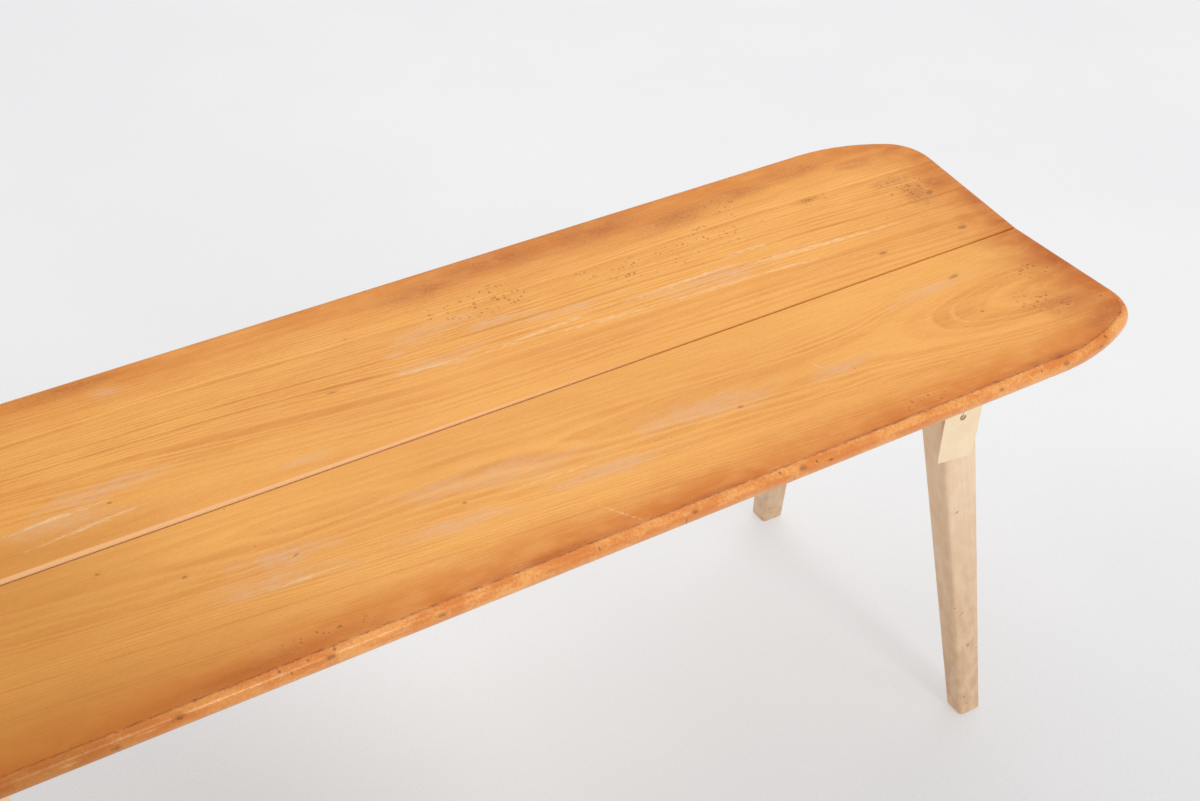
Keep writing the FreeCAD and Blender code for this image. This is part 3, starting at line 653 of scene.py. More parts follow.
# %% Group: growth rings, the lines
AGED_RADIUS = 100.0
grown = reckon(RINGS, "DIVIDE", reckon(RINGS, "POWER", radius, 2.0),
               times(RINGS, given["Ring"], 2 * AGED_RADIUS))
count = gained(RINGS, noise_along(RINGS, seeded, 0.09, 2.0), 3.0, grown)
part = reckon(RINGS, "FRACT", count)
soft = given["Soft"]
rise = ramp_between(RINGS, part, gained(RINGS, soft, -0.26, 0.30), gained(RINGS, soft, -0.30, 0.86))
fall = ramp_between(RINGS, part, gained(RINGS, soft, -0.34, 0.92), 1.0, 1.0, 0.0)
strength = put(RINGS, "TexWhiteNoise", {"W": reckon(RINGS, "FLOOR", count)},
               noise_dimensions="1D").outputs["Value"]
patches = noise(RINGS, stretched(RINGS, given["Place"], PATCH_STRETCH), 1.0)
patchy = ramp_between(RINGS, patches, 0.3, 0.7, 0.45, 1.1)
line = times(RINGS, times(RINGS, rise, fall), times(RINGS, patchy, gained(RINGS, strength, 0.6, 0.4)))
close_group(RINGS, Line=line, Tone=noise_along(RINGS, seeded, 0.035, 3.0))

# %% [markdown]
# Between the rings, wood is made of fibres that run along the tree. Noise squeezed to a long thin shape
# gives that silky streak, and a sparser one gives the short dark ends of pores and resin ducts.

# %% Group: fibre
FIBRE, given = open_group("fibre", [("Grain", "Vector", None), ("Length", "Float", 40.0),
                                    ("Width", "Float", 0.7)], [("Streak", "Float"), ("Pore", "Float")])
axis = split(FIBRE, given["Grain"])
thin = join(FIBRE, *(reckon(FIBRE, "DIVIDE", axis[way], given[size])
                     for way, size in enumerate(("Length", "Width", "Width"))))
streak = noise(FIBRE, thin, 1.0, detail=4.0, roughness=0.6)
fine = stretched(FIBRE, thin, (6.0, 1.4, 1.4))
close_group(FIBRE, Streak=streak, Pore=ramp_between(FIBRE, noise(FIBRE, fine, 1.0, detail=1.0), 0.66, 0.76))

# %% [markdown]
# An old seat is full of small dots: pits of rot, fly spots, pinholes, flecks of paint. A Voronoi pattern
# scatters one point in each cell of an uneven net. Its random colour says whether that cell has a dot at
# all and how big it is, so no two areas are alike. Painting dots by hand would give only the few that
# someone has the patience for.

# %% Group: specks
SPECKS, given = open_group("specks", [("Place", "Vector", None), ("Spacing", "Float", 10.0),
                                      ("Size", "Float", 1.0), ("Share", "Float", 0.4)], [("Mask", "Float")])
NET_STRETCH = (1.0, 1.0, 0.02)
flat_net = stretched(SPECKS, shrunk(SPECKS, given["Place"], given["Spacing"]), NET_STRETCH)
cell = put(SPECKS, "TexVoronoi", {"Vector": flat_net, "Scale": 1.0, "Randomness": 1.0})
chance = split(SPECKS, cell.outputs["Color"])
away = times(SPECKS, cell.outputs["Distance"], given["Spacing"])
own_size = times(SPECKS, given["Size"], gained(SPECKS, chance[1], 0.9, 0.35))
dot = ramp_between(SPECKS, away, times(SPECKS, own_size, 0.45), own_size, 1.0, 0.0)
close_group(SPECKS, Mask=times(SPECKS, dot, reckon(SPECKS, "LESS_THAN", chance[0], given["Share"])))

# %% [markdown]
# The seat's outline decides where dirt gathers and where the finish is worn: a soft line runs round the
# planks where the flat face meets the round edge. The outline is straight sides, straight ends, and at each
# corner a broad arc that runs into a tight one, so two radii and their centres come first.

# %% The seat's outline
half_long, half_wide = cad_high[0] / MM, cad_high[1] / MM
BROAD_START = 118.0
TIP_END = 62.0
TIP_RADIUS = 45.0
tip_middle = (half_long - TIP_RADIUS, half_wide - TIP_END)
broad_run = tip_middle[0] - (half_long - BROAD_START)
broad_rise = TIP_END - TIP_RADIUS
BROAD_RADIUS = TIP_RADIUS + (broad_run ** 2 + broad_rise ** 2) / (2 * broad_rise)
broad_middle = (half_long - BROAD_START, half_wide - BROAD_RADIUS)
print("broad corner arc %.1f mm, tight one %.1f mm" % (BROAD_RADIUS, TIP_RADIUS))

# %% [markdown]
# The distance to the edge is the least of the distances to those parts. Each arc counts only in its own
# sector, and elsewhere its distance is put out of reach, so that it never wins.

# %% Group: distance from the seat's edge
FAR = 1000.0
SEAT_EDGE, given = open_group("seat_edge", [("Place", "Vector", None)], [("Distance", "Float")])
axis = split(SEAT_EDGE, given["Place"])
x_out, y_out = (reckon(SEAT_EDGE, "ABSOLUTE", axis[way]) for way in (0, 1))


def to_arc(middle, arc_radius):
    leg_x, leg_y = minus(SEAT_EDGE, x_out, middle[0]), minus(SEAT_EDGE, y_out, middle[1])
    return minus(SEAT_EDGE, arc_radius, hypotenuse(SEAT_EDGE, leg_x, leg_y)), leg_x, leg_y


def only_where(value, test):
    # leaves the value where the test is one, and puts it out of reach elsewhere
    return gained(SEAT_EDGE, minus(SEAT_EDGE, 1.0, test), FAR, value)


broad_gap, broad_x = to_arc(broad_middle, BROAD_RADIUS)[:2]
tip_gap, tip_x, tip_y = to_arc(tip_middle, TIP_RADIUS)
in_broad = reckon(SEAT_EDGE, "GREATER_THAN", broad_x, 0.0)
slope = (broad_middle[0] - tip_middle[0]) / (broad_middle[1] - tip_middle[1])
past_join = reckon(SEAT_EDGE, "GREATER_THAN", tip_x, times(SEAT_EDGE, tip_y, slope))
in_tip = times(SEAT_EDGE, reckon(SEAT_EDGE, "GREATER_THAN", tip_y, 0.0), past_join)
straight = reckon(SEAT_EDGE, "MINIMUM", minus(SEAT_EDGE, half_wide, y_out),
                  minus(SEAT_EDGE, half_long, x_out))
curved = reckon(SEAT_EDGE, "MINIMUM", only_where(broad_gap, in_broad), only_where(tip_gap, in_tip))
close_group(SEAT_EDGE, Distance=reckon(SEAT_EDGE, "MINIMUM", straight, curved))

# %% [markdown]
# ## Oiled pine
#
# The two planks are honey-coloured pine under an old oil or shellac finish. What has happened to each plank
# is a list of marks, each an oval with a place and a size in millimetres, as a restorer would note them.
# They could be painted on a picture that is wrapped round the plank, but a picture has a fixed sharpness,
# and a list has none.

# %% Marks on the rear plank: middle, half sizes and turn
REAR_MARKS = {
    "knots": [(458, 24, 7, 3.0, 0), (559, 79, 6, 4, 20), (556, 92, 3.5, 3, 0), (551, 22, 7, 4, 0),
              (-69, 78, 7, 1.5, -8), (-273, 42, 3.0, 1.6, 0)],
    "stains": [(140, 168, 100, 20, 0), (236, 168, 90, 26, 0), (318, 152, 70, 20, 4), (386, 158, 60, 16, 0),
               (60, 160, 62, 18, 0), (462, 164, 64, 14, 0), (522, 148, 30, 10, 0), (535, 109, 34, 8, 0),
               (445, 120, 26, 8, 0), (545, 84, 20, 24, 0), (575, 90, 22, 14, 0), (-250, 176, 80, 10, 0),
               (590, 40, 14, 40, 0), (592, 14, 22, 8, 0)],
    "hazes": [(40, 112, 60, 16, -4), (300, 62, 90, 12, -3), (-225, 158, 26, 9, 0), (-305, 38, 62, 14, -3),
              (-126, 19, 44, 8, 0), (-274, 58, 70, 12, 0), (92, 97, 52, 9, -4), (150, 84, 80, 7, -3),
              (-5, 95, 12, 5, 0), (28, 74, 60, 10, 0)],
    "scuffs": [(20, 70, 44, 2.2, -6), (118, 68, 70, 2.2, 3), (262, 70, 70, 2.6, 1), (400, 61, 90, 3.0, -4),
               (188, 57, 62, 2.0, -4), (290, 51, 60, 1.8, -2), (374, 46, 42, 1.6, -5), (476, 56, 26, 1.4, 0),
               (-312, 45, 44, 2.4, 2), (-296, 26, 52, 2.0, 4), (345, 83, 34, 2.4, 0)],
    "pits": [(97, 124, 90, 22, -6), (250, 108, 90, 20, -4), (330, 118, 70, 22, 0), (446, 118, 30, 10, 0),
             (548, 90, 34, 26, 0), (520, 112, 30, 8, 0), (365, 148, 40, 12, 0)],
}
print("named marks on the rear plank:", sum(map(len, REAR_MARKS.values())))

# %% Marks on the front plank
FRONT_MARKS = {
    "knots": [(490, -36, 9, 3.2, 8), (-44, -90, 3, 2, 0), (-179, -79, 4, 1.4, 20), (209, -98, 4, 2.5, 0),
              (-310, -25, 3, 1.6, 0), (-258, -60, 3.2, 2.2, 0), (474, -92, 3, 2, 0), (412, -179, 6, 3, 0),
              (485, -179, 6, 3.4, 0)],
    "stains": [(590, -60, 20, 60, 0), (560, -152, 46, 16, 24), (545, -120, 40, 26, 0), (470, -176, 70, 7, 0),
               (300, -180, 120, 5, 0), (-20, -176, 90, 6, 0), (-260, -172, 130, 14, 0),
               (120, -178, 60, 6, 0)],
    "hazes": [(0, -74, 120, 20, -6), (-205, -98, 76, 18, -6), (178, -86, 96, 18, -3), (79, -112, 90, 12, -3),
              (-190, -76, 60, 14, -6), (455, -42, 66, 12, 4), (-60, -110, 80, 12, -6), (320, -96, 60, 12, 0)],
    "scuffs": [(-186, -106, 34, 1.8, -3), (50, -160, 18, 1.0, -60), (298, -83, 7, 1.0, -70),
               (30, -97, 40, 1.4, -4)],
    "pits": [(534, -108, 30, 24, -30), (585, -140, 20, 30, 0), (-196, -164, 40, 12, 0), (344, -168, 60, 8, 0),
             (556, -66, 24, 40, 0)],
}
print("named marks on the front plank:", sum(map(len, FRONT_MARKS.values())))

# %% [markdown]
# The round front edge has had the hardest life. Its marks are placed by their distance along the bench and
# down from the seat's top, because seen from above they would all lie on one line.

# %% Marks on the front edge: along, down, half sizes and turn
EDGE_CHIPS = [
    (-395, 5, 9, 2.0, 0), (-340, 4, 14, 1.6, 0), (-262, 5, 8, 2.2, 0), (-222, 6, 7, 1.8, 0),
    (-150, 5, 16, 1.5, 0), (-60, 6, 6, 1.4, 0), (52, 5, 1.6, 1.6, 0), (128, 5, 12, 1.2, 0),
    (338, 5, 5, 1.8, 0), (392, 6, 4, 1.6, 0), (560, 6, 8, 1.6, 0)]
EDGE_DENTS = [
    (-318, 3.0, 6, 2.2, 0), (-362, 6.5, 5, 2.6, 0), (-205, 3.0, 5, 2.2, 0), (-118, 4.5, 5, 2.0, 0),
    (102, 3.2, 4, 2.0, 0), (205, 2.6, 5, 2.6, 0), (232, 4.5, 3, 1.6, 0), (412, 3.2, 4, 2.2, 0),
    (485, 3.0, 5, 2.6, 0), (530, 5.0, 4, 1.6, 0)]
print("marks on the front edge:", len(EDGE_CHIPS) + len(EDGE_DENTS))

# %% [markdown]
# The grain of a plank says where its pith runs and how strongly the rings show. The rear plank is sawn
# beside the pith, so its lines are straight, close at the back and wide and soft near the joint. The front
# plank is sawn over it, and at the right end the rings come to the surface as nested arches. Both trees
# grew a little askew, so the lines drift towards the viewer as they run to the right.

# %% The grain of each plank


def rear_grain(tree, x, y):
    # beside the pith: close crisp rings at the back, wide soft ones at the joint
    drift = reckon(tree, "ADD", times(tree, reckon(tree, "MINIMUM", x, 0.0), 0.11),
                   times(tree, reckon(tree, "MAXIMUM", x, 0.0), 0.035))
    drift = times(tree, drift, ramp_between(tree, y, 70.0, 135.0, 1.0, 0.3))
    return {
        "across": reckon(tree, "ADD", reckon(tree, "ADD", y, 14.0), drift), "depth": 58.0, "ring": 3.9,
        "soft": ramp_between(tree, y, 40.0, 100.0, 0.75, 0.10),
        "lines": ramp_between(tree, y, 45.0, 105.0, 0.46, 0.84),
        "fibres": ramp_between(tree, y, 40.0, 110.0, 0.60, 1.00),
        "tan": ramp_between(tree, x, -100.0, 200.0, 0.60, 0.82),
    }


def front_grain(tree, x, y):
    # over the pith, which climbs towards the right end, so that the rings open there as arches
    drift = times(tree, minus(tree, reckon(tree, "MINIMUM", x, 300.0), 300.0), 0.09)
    climb = ramp_between(tree, x, 330.0, 620.0, 0.0, 46.0)
    return {
        "across": reckon(tree, "ADD", reckon(tree, "ADD", y, 88.0), drift),
        "depth": minus(tree, gained(tree, x, -0.012, 58.0), climb), "ring": 2.8,
        "soft": ramp_between(tree, y, -75.0, -25.0, 0.85, 0.35),
        "lines": ramp_between(tree, y, -75.0, -20.0, 0.54, 0.26),
        "fibres": 0.66, "tan": 1.12,
    }


# %% [markdown]
# A finish is built up in thin layers, as a finisher works: a colour is laid over the last one as strongly
# as a mask says. So a finish here is a small bundle: the material, its tree and shader, the place on the
# object, and the colour so far. One function starts it and one wires it up at the end.

# %% Starting and ending a finish


def new_finish(name):
    material = bpy.data.materials.new(name)
    material.use_nodes = True
    tree = material.node_tree
    metres = put(tree, "TexCoord").outputs["Object"]
    return SimpleNamespace(material=material, tree=tree, shader=tree.nodes["Principled BSDF"], metres=metres,
                           place=stretched(tree, metres, (1 / MM, 1 / MM, 1 / MM)))


def lay(finish, share, colour):
    finish.colour = tint(finish.tree, share, finish.colour, colour)


def feed(finish, **sockets):
    for label, given in sockets.items():
        give(finish.tree, finish.shader.inputs[label.replace("_", " ")], given)


def end_finish(finish, dull, height, strength, depth):
    # the colour, the roughness, and a bump whose depth is in millimetres
    bump = put(finish.tree, "Bump", {"Height": height, "Strength": strength, "Distance": depth * MM})
    feed(finish, Base_Color=finish.colour, Roughness=dull, Normal=bump.outputs["Normal"])
    print(finish.material.name, "has", len(finish.tree.nodes), "nodes")
    return finish.material


# %% [markdown]
# Every layer of the planks' finish reads the same few patterns: rings, fibres, clouds, a fine mottle, the
# distance from the seat's edge and the way the face looks. They are placed once for each plank and kept
# together under plain names. Placing them anew in every layer would draw the same thing many times.

# %% What all layers of a plank read
SEAT_TOP = cad_high[2] / MM
BROAD_SIZE = 95.0
BLOTCH_SIZE = 16.0
FRONT_FROM = -118.0
FRONT_FULL = -158.0


def new_board(name, grain, seed):
    board = new_finish(name)
    tree, place = board.tree, board.place
    board.x, board.y, board.z = split(tree, place)[:3]
    board.wood = wood = grain(tree, board.x, board.y)
    depth = reckon(tree, "ADD", wood["depth"], minus(tree, board.z, SEAT_TOP))
    board.rings = use(tree, RINGS, Place=place, Across=wood["across"], Depth=depth, Ring=wood["ring"],
                      Waver=2.6, Soft=wood["soft"], Seed=seed)
    board.streak = use(tree, FIBRE, Grain=place, Length=38.0, Width=1.2)["Streak"]
    board.short_lines = use(tree, FIBRE, Grain=place, Length=9.0, Width=0.8)["Streak"]
    board.broad = use(tree, CLOUDS, Place=place, Size=BROAD_SIZE, Stretch=(0.35, 1.0, 1.0), Seed=seed)[0]
    board.blotch = use(tree, CLOUDS, Place=place, Size=BLOTCH_SIZE, Stretch=(0.5, 1.0, 1.0),
                       Seed=seed + 3.0)[0]
    board.mottle = noise(tree, place, 0.45, detail=4.0, roughness=0.7)
    board.edge = use(tree, SEAT_EDGE, Place=place)[0]
    board.facing = split(tree, put(tree, "NewGeometry").outputs["Normal"])[2]
    board.at_front = ramp_between(tree, board.y, FRONT_FROM, FRONT_FULL)
    return board


# %% [markdown]
# The first layer is the wood itself. Rings deepen the honey tone along their lines. Groups of years, fibres
# and clouds swing about their middle, so that the board as a whole keeps its colour when one of them is
# made stronger.

# %% Layer: honey-coloured wood
HONEY = paint(248, 179, 91)
HONEY_DEEP = paint(206, 121, 42)
LEAST_DEEP = 0.16
LINE_SHARE = 0.75
TONE_SWING = 0.42
BROAD_SWING = 0.16
MOTTLE_SWING = 0.55


def lay_honey(board):
    tree, wood = board.tree, board.wood
    deep = gained(tree, board.rings["Line"], times(tree, wood["lines"], LINE_SHARE), LEAST_DEEP)
    deep = swayed(tree, deep, board.rings["Tone"], 0.5, TONE_SWING)
    deep = swayed(tree, deep, board.streak, 0.5, wood["fibres"])
    deep = swayed(tree, deep, board.broad, 0.5, BROAD_SWING)
    mottled = times(tree, minus(tree, board.mottle, 0.5), MOTTLE_SWING)
    board.deep = reckon(tree, "ADD", deep, mottled, clamp=True)
    board.colour = tint(tree, board.deep, HONEY, HONEY_DEEP)


# %% [markdown]
# Light, hands and old dirt have tanned the wood unevenly: more towards the rim and the right end, and in
# brown clouds at the back. Over the left of the planks, most of all towards the front edge, an ochre
# painted shade is laid where the light falls off.

# %% Layer: tan, stains and painted shade
AMBER = paint(204, 106, 20)
LEFT_SHADE_OCHRE = paint(180, 106, 26)
STAIN_BROWN = paint(172, 88, 28)
TAN_REACH = 60.0
END_REACH = 120.0


def lay_tan_and_left_shade(board, listed):
    tree, x, y, blotch = board.tree, board.x, board.y, board.blotch
    near_rim = ramp_between(tree, board.edge, 2.0, TAN_REACH, 1.0, 0.0)
    lay(board, times(tree, near_rim, gained(tree, blotch, 0.35, 0.50), board.wood["tan"]), AMBER)
    near_end = ramp_between(tree, minus(tree, half_long, x), 0.0, END_REACH, 1.0, 0.0)
    lay(board, times(tree, near_end, gained(tree, blotch, 0.5, 0.35), 0.46), STAIN_BROWN)
    stain = marks(tree, board.place, listed["stains"], blotch, 0.95, 0.12)
    lay(board, times(tree, stain, ramp_between(tree, board.mottle, 0.32, 0.64, 0.50, 1.0),
                     gained(tree, blotch, 0.6, 0.4), 0.86), STAIN_BROWN)
    # painted shade: the left of the planks darkens with ochre where the light falls off
    outer = times(tree, ramp_between(tree, x, -90.0, -430.0), ramp_between(tree, y, -40.0, -150.0), 0.62)
    inner = times(tree, ramp_between(tree, x, -180.0, -400.0), ramp_between(tree, y, 60.0, 20.0), 0.40)
    lay(board, reckon(tree, "MAXIMUM", outer, inner), LEFT_SHADE_OCHRE)


# %% [markdown]
# Where people sit, the finish is rubbed to a greyish bloom that lies in the grain, and here and there
# through to pale streaks. Both masks are torn by the short lines, so they break up along the wood and never
# look airbrushed.

# %% Layer: bloom and scuffs
HAZE_GREY = paint(228, 180, 142)
SCUFF_PALE = paint(246, 216, 176)


def lay_wear(board, listed):
    tree, place, short_lines = board.tree, board.place, board.short_lines
    haze = marks(tree, place, listed["hazes"], board.blotch, 0.95, 0.10)
    lay(board, times(tree, haze, ramp_between(tree, short_lines, 0.34, 0.62), 0.66), HAZE_GREY)
    scuff = marks(tree, place, listed["scuffs"], short_lines, 0.9, 0.9)
    board.scuff = times(tree, scuff, ramp_between(tree, short_lines, 0.60, 0.42, 0.1, 1.0), 0.62)
    lay(board, board.scuff, SCUFF_PALE)


# %% [markdown]
# Knots are few and small. Pits lie close together in some areas and stray over the rest, on the top face
# only.

# %% Layer: knots and pits
KNOT_BROWN = paint(112, 62, 34)
PIT_BROWN = paint(142, 60, 10)


def lay_knots_and_pits(board, listed):
    tree, place = board.tree, board.place
    board.knot = marks(tree, place, listed["knots"], board.mottle, 0.75, 0.3)
    lay(board, times(tree, board.knot, 0.50), KNOT_BROWN)
    pitted = marks(tree, place, listed["pits"], board.blotch, 0.7, 0.15)
    close = times(tree, use(tree, SPECKS, Place=place, Spacing=4.2, Size=1.8, Share=0.62)[0], pitted)
    stray = times(tree, use(tree, SPECKS, Place=place, Spacing=17.0, Size=1.2, Share=0.30)[0], 0.7)
    on_top = ramp_between(tree, board.facing, 0.4, 0.8)
    board.pit = times(tree, reckon(tree, "MAXIMUM", close, stray), on_top)
    lay(board, times(tree, board.pit, 0.55), PIT_BROWN)


# %% [markdown]
# The round front edge is redder and shinier than the seat and paler on its lower side. Towards the left it
# keeps less of its own tone and gets a brown: painted shade, darker where the light falls off. A broken
# line of dirt sits where it meets the flat face.

# %% Layer: the rim and its line of dirt
RIM_LIGHT = paint(252, 182, 108)
RIM_DEEP = paint(226, 138, 68)
RIM_LOW = paint(255, 214, 170)
# brown for dirt, and on the rim's left for painted shade
DIRT_AND_SHADE_BROWN = paint(112, 58, 24)
RIM_FULL = 5.0
RIM_END = 11.5
LINE_FROM_EDGE = 10.6


def lay_rim(board):
    tree, x, z, mottle, edge = board.tree, board.x, board.z, board.mottle, board.edge
    board.on_rim = ramp_between(tree, gained(tree, mottle, 3.0, edge), RIM_FULL, RIM_END, 1.0, 0.0)
    deeper = ramp_between(tree, gained(tree, board.blotch, 0.35, mottle), 0.40, 0.85)
    tone = tint(tree, deeper, RIM_LIGHT, RIM_DEEP)
    tone = tint(tree, ramp_between(tree, z, SEAT_TOP - 3.0, SEAT_TOP - 11.0, 0.0, 0.3), tone, RIM_LOW)
    # painted shade: towards the left the rim keeps less of its tone and a brown is laid there
    rim_tone_share = ramp_between(tree, x, -450.0, -100.0, 0.32, 0.74)
    lay(board, times(tree, board.on_rim, board.at_front, rim_tone_share), tone)
    rim_painted_shade = ramp_between(tree, x, -290.0, -420.0, 0.0, 0.30)
    lay(board, times(tree, board.on_rim, board.at_front, rim_painted_shade), DIRT_AND_SHADE_BROWN)
    off_line = reckon(tree, "ABSOLUTE", minus(tree, gained(tree, mottle, 5.0, edge), LINE_FROM_EDGE))
    dirt_line = times(tree, ramp_between(tree, off_line, 0.2, 1.6, 1.0, 0.0), board.at_front,
                      ramp_between(tree, board.short_lines, 0.42, 0.60))
    lay(board, times(tree, dirt_line, 0.76), DIRT_AND_SHADE_BROWN)


# %% [markdown]
# Dents are dark and chips are pale, because dirt stays in the one and the other has lost its finish. The
# back edge, which nobody wipes, has a brown line all along. The arrises at the front are rubbed.

# %% Layer: dents, chips and rubbed arris
# pale pink for worn wood, and at the joint for a painted highlight
WORN_AND_HIGHLIGHT_PINK = paint(250, 192, 138)
CHIP_PALE = paint(246, 190, 130)


def lay_edge_damage(board):
    tree, place, mottle = board.tree, board.place, board.mottle
    down = join(tree, board.x, minus(tree, SEAT_TOP, board.z), 0.0)
    front_rim = times(tree, board.on_rim, board.at_front)
    chip = marks(tree, down, EDGE_CHIPS, mottle, 0.9, 0.6)
    board.chip = times(tree, front_rim, chip, ramp_between(tree, mottle, 0.40, 0.56))
    board.dent = times(tree, front_rim, marks(tree, down, EDGE_DENTS, mottle, 0.9, 0.8))
    spots = times(tree, board.on_rim, use(tree, SPECKS, Place=place, Spacing=7.0, Size=1.6, Share=0.40)[0])
    lay(board, times(tree, reckon(tree, "MAXIMUM", board.dent, spots), 0.6), DIRT_AND_SHADE_BROWN)
    lay(board, times(tree, board.chip, 0.55), CHIP_PALE)
    back_line = times(tree, ramp_between(tree, board.edge, 1.0, 4.0, 1.0, 0.0),
                      ramp_between(tree, board.y, 140.0, 184.0))
    lay(board, times(tree, back_line, 0.6), DIRT_AND_SHADE_BROWN)
    arris_wear_and_highlight = use(tree, ARRIS, Place=place, Reach=1.6 * MM, Patchy=0.55)[0]
    lay(board, times(tree, arris_wear_and_highlight, board.at_front, 0.35), WORN_AND_HIGHLIGHT_PINK)


# %% [markdown]
# At the joint the rear plank's worn arris carries a pale stripe of painted highlight that narrows and
# fades to the right. The front plank has a thin brown seam instead. The underside was never oiled.

# %% Layer: the joint and the bare underside
UNOILED = paint(222, 184, 138)
UNOILED_DEEP = paint(196, 150, 100)


def lay_highlight_stripe(board):
    tree, x = board.tree, board.x
    # painted highlight: a pale stripe on the worn joint arris, wide at the left and fading to the right
    wide = ramp_between(tree, x, -300.0, 250.0, 5.0, 1.8, smooth=False)
    worn = times(tree, ramp_between(tree, minus(tree, board.y, wide), -0.6, 0.5, 1.0, 0.0),
                 ramp_between(tree, x, -20.0, 280.0, 1.0, 0.0))
    lay(board, times(tree, worn, gained(tree, board.mottle, 0.5, 0.50)), WORN_AND_HIGHLIGHT_PINK)


def lay_seam(board):
    tree = board.tree
    seam = times(tree, ramp_between(tree, board.y, -2.4, -0.8),
                 ramp_between(tree, board.mottle, 0.35, 0.6, 0.5, 1.0))
    lay(board, times(tree, seam, 0.6), DIRT_AND_SHADE_BROWN)


def lay_underside(board):
    board.below = ramp_between(board.tree, board.facing, -0.75, -0.35, 1.0, 0.0)
    lay(board, board.below, tint(board.tree, times(board.tree, board.deep, 0.8), UNOILED, UNOILED_DEEP))


# %% [markdown]
# Relief and gloss come last, from the same masks: pits, knots, dents and chips are hollows, scuffs and bare
# wood are dull, and the round edge is polished by years of hands.

# %% The whole finish of a plank
OIL_GLOSS = 0.24
DULLNESS = 0.38
RELIEF = 0.14
HOLLOWS = {"pit": -0.9, "knot": -0.5, "dent": -2.4, "chip": -1.2}


def plank_pine(name, grain, listed, seed, lay_joint):
    board = new_board(name, grain, seed)
    lay_honey(board)
    lay_tan_and_left_shade(board, listed)
    lay_wear(board, listed)
    lay_knots_and_pits(board, listed)
    lay_rim(board)
    lay_edge_damage(board)
    lay_joint(board)
    lay_underside(board)
    tree, on_rim = board.tree, board.on_rim
    height = gained(tree, board.streak, 0.5, times(tree, board.rings["Line"], 0.25))
    height = gained(tree, board.mottle, gained(tree, on_rim, 1.0, 0.4), height)
    for hollow, amount in HOLLOWS.items():
        height = gained(tree, getattr(board, hollow), amount, height)
    dull = gained(tree, board.blotch, 0.10, DULLNESS)
    dull = gained(tree, board.scuff, 0.18, dull)
    dull = gained(tree, on_rim, -0.19, dull)
    dull = reckon(tree, "MULTIPLY_ADD", board.below, 0.25, dull, clamp=True)
    feed(board, Specular_IOR_Level=OIL_GLOSS)
    return end_finish(board, dull, height, 0.5, RELIEF)


pine_rear = plank_pine("oiled_pine_rear", rear_grain, REAR_MARKS, 4.0, lay_highlight_stripe)
pine_front = plank_pine("oiled_pine_front", front_grain, FRONT_MARKS, 11.0, lay_seam)

# %% [markdown]
# ## Plain pine, and pale birch
#
# The battens under the seat were never oiled. They are the same pine, paler, with their grain running from
# front to back, so X and Y change places before the pattern is drawn. All three share one material: a
# ping-pong of the place along the bench puts a pith beside each outer batten, and the middle one is cut far
# from it.

# %% Battens
BATTEN_MIDDLE = 431.3
BATTEN_PITH = (20.0, 352.0)


def plain_pine():
    finish = new_finish("plain_pine")
    tree = finish.tree
    x, y, z = split(tree, finish.place)[:3]
    grain = join(tree, y, x, z)
    local = reckon(tree, "PINGPONG", reckon(tree, "ADD", x, BATTEN_MIDDLE), BATTEN_MIDDLE)
    rings = use(tree, RINGS, Place=grain, Across=minus(tree, local, BATTEN_PITH[0]),
                Depth=minus(tree, z, BATTEN_PITH[1]), Ring=1.4, Waver=1.6, Seed=21.0)
    fibre = use(tree, FIBRE, Grain=grain, Length=40.0, Width=0.6)
    broad = use(tree, CLOUDS, Place=grain, Size=70.0, Stretch=(0.4, 1.0, 1.0), Seed=2.0)[0]
    deep = gained(tree, rings["Line"], 0.6, times(tree, broad, 0.3))
    deep = reckon(tree, "MULTIPLY_ADD", minus(tree, fibre["Streak"], 0.5), 0.8, deep, clamp=True)
    finish.colour = tint(tree, deep, paint(231, 198, 150), paint(203, 158, 104))
    lay(finish, times(tree, fibre["Pore"], 0.25), paint(150, 106, 66))
    arris_wear_and_highlight = use(tree, ARRIS, Place=finish.place, Reach=1.4 * MM, Patchy=0.6)[0]
    lay(finish, times(tree, arris_wear_and_highlight, 0.4), paint(238, 212, 172))
    height = gained(tree, rings["Line"], 0.5, fibre["Streak"])
    return end_finish(finish, gained(tree, fibre["Streak"], 0.15, 0.55), height, 0.5, 0.15)


pine_plain = plain_pine()

# %% [markdown]
# The legs are birch, a dense pale wood with hardly any rings: long soft streaks, a slight cloudiness, grime
# towards the foot, rubbed arrises with a painted highlight along them, and a few dents on the front faces. A
# leg leans both ways, so its grain has to lean with it: the place is slid sideways by its height before the
# pattern is drawn. The four legs are mirrored copies, so each gets its own stretch of the tree.

# %% Legs and their wedges
LEG_FOOT = (487.5, 162.0)
LEG_LEAN = (56.2 / 414.94, 64.9 / 414.94)
BIRCH_PITH = (44.0, 70.0)
LEG_STEPS = (130.0, 310.0)
GRIME_TOP = 320.0
LEG_DENTS = [(463.2, 130, 5.5, 1.0, 35), (475.6, 88, 2.2, 2.6, 0), (477.2, 24, 2.0, 1.2, 0),
             (481.6, 14, 1.4, 1.4, 0), (446, 252, 3.0, 1.6, 20), (465, 50, 3.0, 12, 0),
             (458, 102, 2.4, 16, 0), (454, 138, 6.0, 0.8, 60)]


def leg_grain(tree, x, y, z):
    # along the leg, and how far a point lies from its centre line both ways
    slid_x, slid_y = (gained(tree, z, lean, minus(tree, reckon(tree, "ABSOLUTE", way), foot))
                      for way, foot, lean in zip((x, y), LEG_FOOT, LEG_LEAN))
    which = gained(tree, reckon(tree, "SIGN", x), LEG_STEPS[0],
                   times(tree, reckon(tree, "SIGN", y), LEG_STEPS[1]))
    return join(tree, reckon(tree, "ADD", z, which), slid_x, slid_y), slid_x, slid_y


